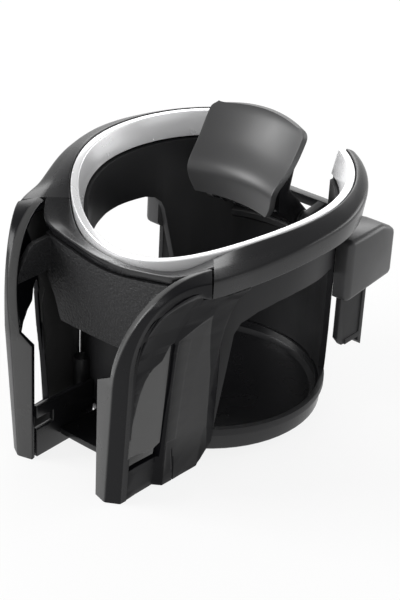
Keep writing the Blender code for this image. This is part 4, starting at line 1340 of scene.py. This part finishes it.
@dataclass
class MouldedParts:
    """The mouldings whose solids are right: welded, with rounded edges and their own finish."""

    fine: Rounding = Rounding(width=0.00030, segments=3, angle=32.0, shade=34.0)

    @staticmethod
    def finishes() -> Dict[str, Finish]:
        """Return the finish of each node.

        Returns:
            The finishes by name of node.
        """
        dress = {
            "front_apron": GRAIN, "cup_barrel": INSIDE, "cup_tray": SATIN, "rear_frame": FRAME_SATIN_PAINTED_LIGHT,
            "hinge_pin": STEEL,
        }
        for side in ("left", "right"):
            dress["inner_wall_" + side] = SATIN
            dress["support_bracket_" + side] = INSIDE
        return dress

    def build(self) -> None:
        """Build each moulding and dress it."""
        for node, finish in self.finishes().items():
            add_piece(node + "_moulding", self.fine.apply(merged_copy(node)), finish, nodes=[node])


class Tree:
    """A Geometry Nodes tree that is built, applied and taken off again."""

    def __init__(self, name: str, sizes: Dict[str, float]) -> None:
        """Start a tree with named number inputs.

        Args:
            name: Name of the tree.
            sizes: Its inputs and their values.
        """
        self.sizes = sizes
        self.group = bpy.data.node_groups.new(name, "GeometryNodeTree")
        self.group.interface.new_socket("Geometry", in_out="INPUT", socket_type="NodeSocketGeometry")
        self.identifiers: Dict[str, str] = {}
        for key, value in sizes.items():
            socket = self.group.interface.new_socket(key, in_out="INPUT", socket_type="NodeSocketFloat")
            socket.default_value = value
            self.identifiers[key] = socket.identifier
        self.group.interface.new_socket("Geometry", in_out="OUTPUT", socket_type="NodeSocketGeometry")
        self.start = self.group.nodes.new("NodeGroupInput")
        self.end = self.group.nodes.new("NodeGroupOutput")

    def add(self, kind: str, inputs: Optional[Dict[object, object]] = None, **settings: object) -> Node:
        """Add a node with its inputs and settings."""
        return new_node(self.group, kind, inputs, **settings)

    def gather(self, node: Node, key: str, sources: Sequence[Socket]) -> None:
        """Link several sockets, in order, to one input that takes many."""
        for source in sources:
            feed(self.group, node, {key: source})

    def size(self, key: str) -> Socket:
        """Return the socket of a named input."""
        return self.start.outputs[key]

    def close(self, geometry: Socket, finish: Finish) -> None:
        """End the tree with real geometry and a material.

        Args:
            geometry: The socket of the finished geometry.
            finish: The finish of its surface.
        """
        real = self.add("GeometryNodeRealizeInstances", {"Geometry": geometry})
        inputs = {"Geometry": real.outputs["Geometry"], "Material": finish.material()}
        paint = self.add("GeometryNodeSetMaterial", inputs)
        feed(self.group, self.end, {"Geometry": paint.outputs["Geometry"]})

    def mesh(self, base: Mesh) -> Mesh:
        """Run the tree on a mesh and return the plain result.

        Args:
            base: The mesh that the tree starts from.

        Returns:
            The finished mesh.
        """
        obj = linked("tree", base)
        modifier = obj.modifiers.new("tree", "NODES")
        modifier.node_group = self.group
        for key, value in self.sizes.items():
            modifier[self.identifiers[key]] = value
        result = evaluated(obj)
        bpy.data.objects.remove(obj)
        return result


@dataclass
class HingeSprings:
    """The two coil springs on the hinge pin."""

    hinge: Point = HINGE
    mean_radius: float = 0.0026
    wire: float = 0.0004
    turns: float = 6.0
    pitch: float = 0.0011
    start_x: float = 0.0035
    bar_y: float = 0.0335
    bar_gap: float = 0.0003
    turn_points: int = 24
    wire_sides: int = 10

    def coil(self, side: float) -> Mesh:
        """Return one coil with its fixed end against the bar.

        Args:
            side: 1 on the right and -1 on the left.

        Returns:
            The coil's mesh.
        """
        tree = Tree("hinge_spring", {
            "Turns": self.turns, "Radius": self.mean_radius, "Length": self.turns * self.pitch,
            "Wire": self.wire,
        })
        start_x, top = side * self.start_x, self.hinge[1] + self.mean_radius
        spiral = tree.add("GeometryNodeCurveSpiral", {
            "Resolution": self.turn_points, "Rotations": tree.size("Turns"), "Height": tree.size("Length"),
            "Start Radius": tree.size("Radius"), "End Radius": tree.size("Radius"),
        })
        turn = tree.add("GeometryNodeTransform", {
            "Geometry": spiral.outputs["Curve"], "Rotation": (0.0, side * math.pi / 2, 0.0),
            "Translation": (start_x, *self.hinge),
        })
        leg = tree.add("GeometryNodeCurvePrimitiveLine", {
            "Start": (start_x, self.hinge[0], top),
            "End": (start_x, self.bar_y - self.wire - self.bar_gap, top),
        })
        both = tree.add("GeometryNodeJoinGeometry")
        tree.gather(both, "Geometry", (leg.outputs["Curve"], turn.outputs["Geometry"]))
        circle = tree.add("GeometryNodeCurvePrimitiveCircle", {
            "Resolution": self.wire_sides, "Radius": tree.size("Wire"),
        })
        skin = tree.add("GeometryNodeCurveToMesh", {
            "Curve": both.outputs["Geometry"], "Profile Curve": circle.outputs["Curve"], "Fill Caps": True,
        })
        tree.close(skin.outputs["Mesh"], STEEL)
        mesh = tree.mesh(bpy.data.meshes.new("spring_base"))
        mesh.shade_smooth()
        return mesh

    def build(self) -> None:
        """Build both springs and dress them."""
        for side, word in ((-1.0, "left"), (1.0, "right")):
            add_piece("hinge_coil_" + word, self.coil(side), STEEL, nodes=["torsion_spring_" + word])


@dataclass
class TrayScrews:
    """The four self-tapping screws under the tray, with crossed recesses."""

    spot_radius: float = 0.0422
    front_angle: float = 27.0
    rear_angle: float = 14.0
    head: float = 0.0024
    head_height: float = 0.0012
    shank: float = 0.0013
    length: float = 0.0090
    seat: float = -0.0006
    recess: float = 0.0006
    slot: float = 0.0005
    slot_length: float = 0.00312
    sink: float = 0.0001
    head_sides: int = 28
    shank_sides: int = 20
    shade: float = 30.0

    def spots(self) -> Mesh:
        """Return a mesh with one point where each screw's head meets the tray.

        Returns:
            The mesh of four points.
        """
        points = []
        for degrees in (-90.0 - self.front_angle, -90.0 + self.front_angle,
                        90.0 - self.rear_angle, 90.0 + self.rear_angle):
            angle = math.radians(degrees)
            x, y = self.spot_radius * math.cos(angle), self.spot_radius * math.sin(angle)
            points.append((x, y, self.seat))
        mesh = bpy.data.meshes.new("screw_spots")
        mesh.from_pydata(points, [], [])
        return mesh

    @staticmethod
    def _moved(tree: Tree, mesh: Socket, lift: float) -> Socket:
        """Add a move along Z to the tree and return its result."""
        inputs = {"Geometry": mesh, "Translation": (0.0, 0.0, lift)}
        return tree.add("GeometryNodeTransform", inputs).outputs["Geometry"]

    def _bar(self, tree: Tree, radius: str, depth: str, lift: float, sides: int) -> Socket:
        """Add a round bar to the tree and return its mesh."""
        inputs = {"Vertices": sides, "Radius": tree.size(radius), "Depth": tree.size(depth)}
        return self._moved(tree, tree.add("GeometryNodeMeshCylinder", inputs).outputs["Mesh"], lift)

    def build(self) -> None:
        """Build the screws on their spots and dress them."""
        tree = Tree("tray_screw", {
            "Head": self.head, "Head height": self.head_height, "Shank": self.shank, "Length": self.length,
        })
        head = self._bar(tree, "Head", "Head height", -self.head_height / 2, self.head_sides)
        shank = self._bar(tree, "Shank", "Length", self.length / 2 - self.sink, self.shank_sides)
        way = Operation.CUT.value
        cut = tree.add("GeometryNodeMeshBoolean", {"Mesh 1": head}, operation=way, solver="EXACT")
        for width, depth in ((self.slot_length, self.slot), (self.slot, self.slot_length)):
            slot = tree.add("GeometryNodeMeshCube", {"Size": (width, depth, self.recess * 2)})
            tree.gather(cut, "Mesh 2", [self._moved(tree, slot.outputs["Mesh"], -self.head_height)])
        whole = tree.add("GeometryNodeMeshBoolean", operation=Operation.JOIN.value, solver="EXACT")
        tree.gather(whole, "Mesh 2", (cut.outputs["Mesh"], shank))
        place = tree.add("GeometryNodeInstanceOnPoints", {
            "Points": tree.start.outputs["Geometry"], "Instance": whole.outputs["Mesh"],
        })
        tree.close(place.outputs["Instances"], STEEL)
        mesh = tree.mesh(self.spots())
        mesh.shade_smooth()
        mesh.set_sharp_from_angle(angle=math.radians(self.shade))
        nodes = [f"tray_screw_{index}" for index in range(1, 5)]
        add_piece("tray_screws", mesh, STEEL, nodes=nodes)


@dataclass
class Studio:
    """White floor, soft lamps and the camera at the photograph's angle."""

    floor_level: float = -0.0061
    floor_half: float = 3.0
    floor_colour: Tuple[float, ...] = (0.92, 0.92, 0.92, 1.0)
    floor_roughness: float = 0.9
    floor_specular: float = 0.1
    floor_glow: float = 0.85
    sky_heights: Point = (0.10, 0.95)
    sky_levels: Point = (0.95, 0.35)
    eye: Triple = (0.2873, -0.3698, 0.2825)
    back: Triple = (0.5426, -0.6929, 0.4748)
    right: Triple = (0.7703, 0.6359, 0.0477)
    lens: float = 98.53
    sensor: float = 36.0
    near: float = 0.01
    aim: Triple = (0.0, -0.01, 0.03)
    boxes: Tuple[Tuple[str, Triple, Point, float], ...] = (
        ("left_front_box", (-0.75, -0.66, 0.52), (0.60, 0.60), 9.0),
        ("left_back_box", (-0.62, 0.80, 0.55), (0.80, 0.55), 2.4),
        ("back_box", (0.50, 0.92, 0.42), (0.80, 0.45), 3.4),
        ("right_box", (0.90, 0.55, 0.50), (0.40, 0.40), 1.6),
    )

    def floor(self) -> None:
        """Build the white floor, which shows white and keeps the shadow."""
        half = self.floor_half
        sides = ((-half, -half), (half, -half), (half, half), (-half, half))
        mesh = bpy.data.meshes.new("floor")
        mesh.from_pydata([(x, y, self.floor_level) for x, y in sides], [], [(0, 1, 2, 3)])
        obj = linked("floor", mesh)
        material = bpy.data.materials.new("white_floor")
        material.use_nodes = True
        tree = material.node_tree
        shader = tree.nodes["Principled BSDF"]
        feed(tree, shader, {
            "Base Color": self.floor_colour, "Roughness": self.floor_roughness,
            "Specular IOR Level": self.floor_specular,
        })
        glow = new_node(tree, "ShaderNodeEmission", {"Color": (1.0, 1.0, 1.0, 1.0), "Strength": 1.0})
        rays = new_node(tree, "ShaderNodeLightPath")
        share = rays.outputs["Is Camera Ray"]
        for operation, other in (
            ("MAXIMUM", rays.outputs["Is Glossy Ray"]),
            ("MAXIMUM", rays.outputs["Is Transmission Ray"]),
            ("MULTIPLY", self.floor_glow),
        ):
            share = new_node(tree, "ShaderNodeMath", {0: share, 1: other}, operation=operation).outputs[0]
        mix = new_node(tree, "ShaderNodeMixShader", {0: share, 1: shader.outputs[0], 2: glow.outputs[0]})
        feed(tree, tree.nodes["Material Output"], {"Surface": mix.outputs[0]})
        mesh.materials.append(material)

    def world(self) -> None:
        """Make the room: bright near the horizon and dim overhead."""
        world = bpy.data.worlds.new("studio")
        bpy.context.scene.world = world
        world.use_nodes = True
        tree = world.node_tree
        place = new_node(tree, "ShaderNodeTexCoord")
        split = new_node(tree, "ShaderNodeSeparateXYZ", {0: place.outputs["Generated"]})
        span = new_node(tree, "ShaderNodeMapRange", {
            "Value": split.outputs["Z"], "From Min": self.sky_heights[0], "From Max": self.sky_heights[1],
            "To Min": self.sky_levels[0], "To Max": self.sky_levels[1],
        }, interpolation_type="SMOOTHSTEP")
        feed(tree, tree.nodes["Background"], {"Color": span.outputs["Result"]})

    def lamp(self, name: str, spot: Triple, size: Point, radiance: float) -> None:
        """Add one soft box that faces the object.

        Args:
            name: Name of the lamp.
            spot: Where it stands.
            size: Its width and height.
            radiance: How bright its face looks.
        """
        light = bpy.data.lights.new(name, "AREA")
        light.shape = "RECTANGLE"
        light.size, light.size_y = size
        light.energy = radiance * math.pi * size[0] * size[1]
        obj = bpy.data.objects.new(name, light)
        bpy.context.scene.collection.objects.link(obj)
        obj.location = spot
        toward = Vector(self.aim) - Vector(spot)
        obj.rotation_euler = toward.to_track_quat("-Z", "Y").to_euler()

    def camera(self) -> None:
        """Place the camera."""
        lens = bpy.data.cameras.new("camera")
        lens.lens = self.lens
        lens.sensor_width = self.sensor
        lens.clip_start = self.near
        camera = bpy.data.objects.new("camera", lens)
        bpy.context.scene.collection.objects.link(camera)
        back = Vector(self.back).normalized()
        right = Vector(self.right)
        right = (right - back * right.dot(back)).normalized()
        up = back.cross(right)
        turn = Matrix((right, up, back)).transposed()
        camera.matrix_world = Matrix.Translation(self.eye) @ turn.to_4x4()
        bpy.context.scene.camera = camera

    def build(self) -> None:
        """Build the whole studio."""
        self.floor()
        self.world()
        for box in self.boxes:
            self.lamp(*box)
        self.camera()
        bpy.context.scene.view_settings.view_transform = "Standard"


def main() -> None:
    """Build the pieces in order."""
    logging.basicConfig(level=logging.INFO, format="%(name)s: %(message)s")
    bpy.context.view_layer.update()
    ring = TrimRing()
    collar = RingCollar()
    ring.build()
    collar.build(ring)
    LegCovers().build(collar.seam)
    SideWalls().build()
    PressArm().build()
    MouldedParts().build()
    HingeSprings().build()
    TrayScrews().build()
    Studio().build()


if __name__ == "__main__":
    main()
